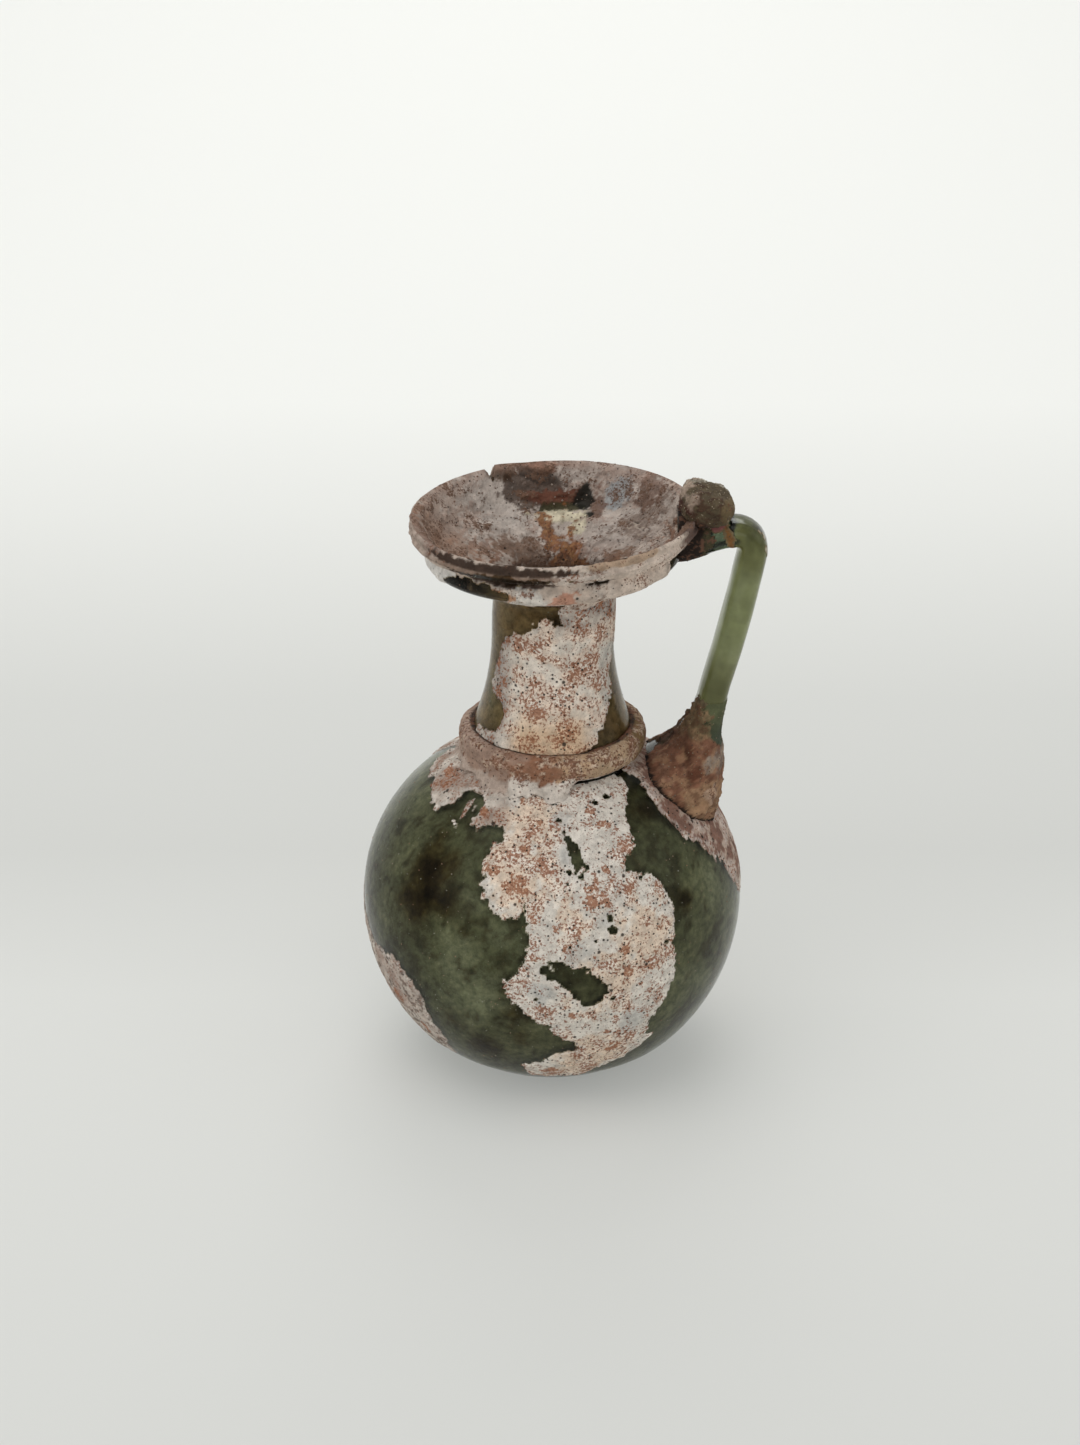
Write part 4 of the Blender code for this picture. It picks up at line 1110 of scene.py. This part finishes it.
paint(tint, "6d5d42", 0.8 * ease((direction[..., 0] - 0.45 + 0.6 * middle) / 0.3))
paint(tint, "857d6e", 0.9 * top_part)
# painted shade: the underside of the fold darker
paint(tint, "3a281e", 0.8 * ease((-direction[..., 2] - 0.35 + 0.5 * middle) / 0.3))
# painted shade, maroon: the low side of the left end, in the crease by the lip
paint(tint, "4a2620", 0.8 * left_part * ease((0.3 - direction[..., 2]) / 0.3))
paint(tint, "a08d7d", 0.9 * left_part * ease((direction[..., 2] - 0.1 + 0.4 * middle) / 0.3))
paint(tint, "b4ad9e", 0.8 * ease((fine - 0.30) / 0.12) * top_part)
stain = -0.3 + 0.9 * middle - 0.8 * top_part
thumb_rest = new_piece(
    "crusted_thumb_rest", fold, strap_crust_material, tint=tint, stain=stain, poles=(0, -1))
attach(thumb_rest, "root")


# Grains of sand and lime, baked into the crust by the soil: fine pale ones scattered over the glass
# and its crust, and glassy ones that sparkle on the thumb rest and the pad.
GRAIN_LIFT = 0.0012


def scattered(name, host, material, size, apart, seed):
    """A piece of grains over a host's faces, with their largest radius and mean distance in millimetres."""
    tree = bpy.data.node_groups.new(name, "GeometryNodeTree")
    sockets = (("Ground", "Geometry"), ("Grain size", "Float"), ("Density", "Float"), ("Seed", "Int"))
    for socket, kind in sockets:
        tree.interface.new_socket(socket, in_out="INPUT", socket_type=f"NodeSocket{kind}")
    tree.interface.new_socket("Grains", in_out="OUTPUT", socket_type="NodeSocketGeometry")
    given = add(tree, "NodeGroupInput").outputs
    place = add(tree, "GeometryNodeInputPosition")
    height = add(tree, "ShaderNodeSeparateXYZ", {0: place.outputs["Position"]}).outputs["Z"]
    clear = add(tree, "FunctionNodeCompare", {0: height, 1: GRAIN_LIFT}, operation="GREATER_THAN")
    spread = add(tree, "GeometryNodeDistributePointsOnFaces", {
        "Mesh": given["Ground"], "Selection": clear.outputs["Result"], "Density": given["Density"],
        "Seed": given["Seed"]})
    grain = add(tree, "GeometryNodeMeshIcoSphere", {"Radius": given["Grain size"], "Subdivisions": 1})
    shrink = add(tree, "FunctionNodeRandomValue", {2: 0.25, 3: 1.0, "Seed": given["Seed"]})
    turns = {0: (0.0, 0.0, 0.0), 1: (math.tau, math.tau, math.tau), "Seed": given["Seed"]}
    tumble = add(tree, "FunctionNodeRandomValue", turns, data_type="FLOAT_VECTOR")
    strewn = add(tree, "GeometryNodeInstanceOnPoints", {
        "Points": spread.outputs["Points"], "Instance": grain.outputs["Mesh"],
        "Rotation": tumble.outputs["Value"], "Scale": shrink.outputs[1]})
    solid = add(tree, "GeometryNodeRealizeInstances", {"Geometry": strewn.outputs["Instances"]})
    coated = add(tree, "GeometryNodeSetMaterial", {
        "Geometry": solid.outputs["Geometry"], "Material": material})
    add(tree, "NodeGroupOutput", {0: coated.outputs["Geometry"]})
    ground = shown(f"{name}_ground", host.data.copy())
    strewing = ground.modifiers.new("grains", "NODES")
    strewing.node_group = tree
    named = {item.name: item.identifier for item in tree.interface.items_tree if item.in_out == "INPUT"}
    strewing[named["Grain size"]] = size / 1000.0
    strewing[named["Density"]] = (1000.0 / apart) ** 2
    strewing[named["Seed"]] = seed
    shape = ground.evaluated_get(bpy.context.evaluated_depsgraph_get())
    mesh = bpy.data.meshes.new_from_object(shape)
    bpy.data.objects.remove(ground)
    mesh.name = name
    grains = shown(name, mesh)
    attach(grains, "root")


# Sand and lime grains differ from one to the next, from chalk white to rust and grey.
def sandy_grains(name, colours, roughness):
    material, tree, shader = new_material(name)
    place = add(tree, "ShaderNodeTexCoord").outputs["Object"]
    kinds = add(tree, "ShaderNodeTexNoise", {"Vector": place, "Scale": 1000.0 / 1.4, "Detail": 1.0})
    ramp = add(tree, "ShaderNodeValToRGB", {"Fac": kinds.outputs["Fac"]})
    for spot, colour in zip((0.40, 0.50, 0.60), colours):
        stop = ramp.color_ramp.elements.new(spot)
        stop.color = (*srgb(colour), 1.0)
    ramp.color_ramp.elements[0].color = (*srgb(colours[0]), 1.0)
    ramp.color_ramp.elements[-1].color = (*srgb(colours[-1]), 1.0)
    tree.links.new(ramp.outputs["Color"], shader.inputs["Base Color"])
    shader.inputs["Roughness"].default_value = roughness
    return material


lime_grains = sandy_grains("pale_lime_grains", ("8a8c78", "b5b2a4", "a98268"), 0.85)
glassy_grains = sandy_grains("sparkling_sand_grains", ("3c2d20", "594733", "988a70"), 0.35)
scattered("lime_grains_on_glass", vessel, lime_grains, 0.15, 3.6, 1)
scattered("lime_grains_on_belly", belly_crust, lime_grains, 0.13, 2.2, 2)
bowl_grains = sandy_grains("bowl_sand_grains", ("6f5a4b", "9a8d82", "75594a"), 0.8)
scattered("sand_grains_in_bowl", bowl, bowl_grains, 0.30, 2.6, 3)
scattered("sand_grains_on_thumb_rest", thumb_rest, glassy_grains, 0.20, 1.0, 4)
scattered("sand_grains_on_pad", strap_crust, glassy_grains, 0.20, 2.0, 5)


# Stage: a plain table of pale acrylic that rises into a near-white backdrop, as in a small photo tent.
# The table glows softly, a painted glow that stands for light from below and lightens the shadow
# under the jug, and a painted shadow makes it a little darker just behind the jug. A wide soft lamp
# hangs above the front left and weaker ones stand around.
def new_lamp(name, place, aim, width, power):
    lamp = bpy.data.lights.new(name, "AREA")
    lamp.shape = "DISK"
    lamp.size = width
    lamp.energy = power
    holder = shown(name, lamp)
    holder.location = place
    holder.rotation_euler = (Vector(aim) - Vector(place)).to_track_quat("-Z", "Y").to_euler()


STAGE_HALF_WIDTH = 2.5
stage_line = [(-1.6, 0.0), (0.9, 0.0), (1.25, 0.05), (1.5, 0.25), (1.62, 0.6), (1.65, 2.2)]
stage_mesh = bpy.data.meshes.new("table")
stage_mesh.from_pydata(
    [(side * STAGE_HALF_WIDTH, y, z) for y, z in stage_line for side in (-1.0, 1.0)], [],
    [(2 * step, 2 * step + 1, 2 * step + 3, 2 * step + 2) for step in range(len(stage_line) - 1)])
stage_mesh.shade_smooth()
table_material, table_tree, table_shader = new_material("white_acrylic_with_painted_glow_and_shadow")
table_coordinates = add(table_tree, "ShaderNodeTexCoord").outputs["Object"]
table_place = add(table_tree, "ShaderNodeSeparateXYZ", {0: table_coordinates})
table_far = add(table_tree, "ShaderNodeMapRange", {
    "Value": table_place.outputs["Y"], "From Min": -0.2, "From Max": 0.8, "To Min": 0.0, "To Max": 1.0})
graded = add(table_tree, "ShaderNodeValToRGB", {"Fac": table_far.outputs["Result"]})
# painted shadow: the darker band on the table a little behind the jug
TABLE_TONES_WITH_PAINTED_SHADOW = ((0.22, "b2b2af"), (0.30, "a3a3a0"), (0.40, "a7a7a4"), (0.55, "bcbcb9"), (0.66, "c6c6c3"))
for spot, shade in TABLE_TONES_WITH_PAINTED_SHADOW:
    stop = graded.color_ramp.elements.new(spot)
    stop.color = (*srgb(shade), 1.0)
graded.color_ramp.elements[0].color = (*srgb("ababa8"), 1.0)
graded.color_ramp.elements[-1].color = (*srgb("c3c3c0"), 1.0)
table_tree.links.new(graded.outputs["Color"], table_shader.inputs["Base Color"])
# painted glow: the table gives off a little light of its own, lightening the shadow under the jug
table_shader.inputs["Emission Color"].default_value = (0.98, 1.0, 0.96, 1.0)
table_shader.inputs["Emission Strength"].default_value = 0.27
table_shader.inputs["Roughness"].default_value = 0.9
stage_mesh.materials.append(table_material)
table = shown("table", stage_mesh)

new_lamp("overhead softbox", (-0.25, -0.15, 1.1), (0.0, 0.0, 0.06), 1.2, 4.6)
new_lamp("backdrop lamp", (0.0, 1.0, 0.9), (0.0, 0.95, 0.0), 0.9, 5.5)
new_lamp("left fill", (-0.9, -0.5, 0.5), (0.0, 0.0, 0.08), 0.8, 1.3)
new_lamp("right fill", (0.9, -0.3, 0.55), (0.0, 0.0, 0.08), 0.8, 1.0)
new_lamp("front fill", (0.15, -1.25, 0.42), (0.0, 0.0, 0.05), 0.7, 1.6)

world = bpy.data.worlds.new("tent")
world.use_nodes = True
sky = world.node_tree.nodes["Background"]
sky.inputs["Color"].default_value = (0.93, 0.94, 0.93, 1.0)
sky.inputs["Strength"].default_value = 0.50
bpy.context.scene.world = world

lens = bpy.data.cameras.new("camera")
lens.lens = 85.0
lens.sensor_width = 36.0
camera = shown("camera", lens)
camera.location = (-0.0030, -0.7473, 0.4455)
camera.rotation_euler = (math.radians(64.4), 0.0, 0.0)
bpy.context.scene.camera = camera
bpy.context.scene.view_settings.view_transform = "Standard"
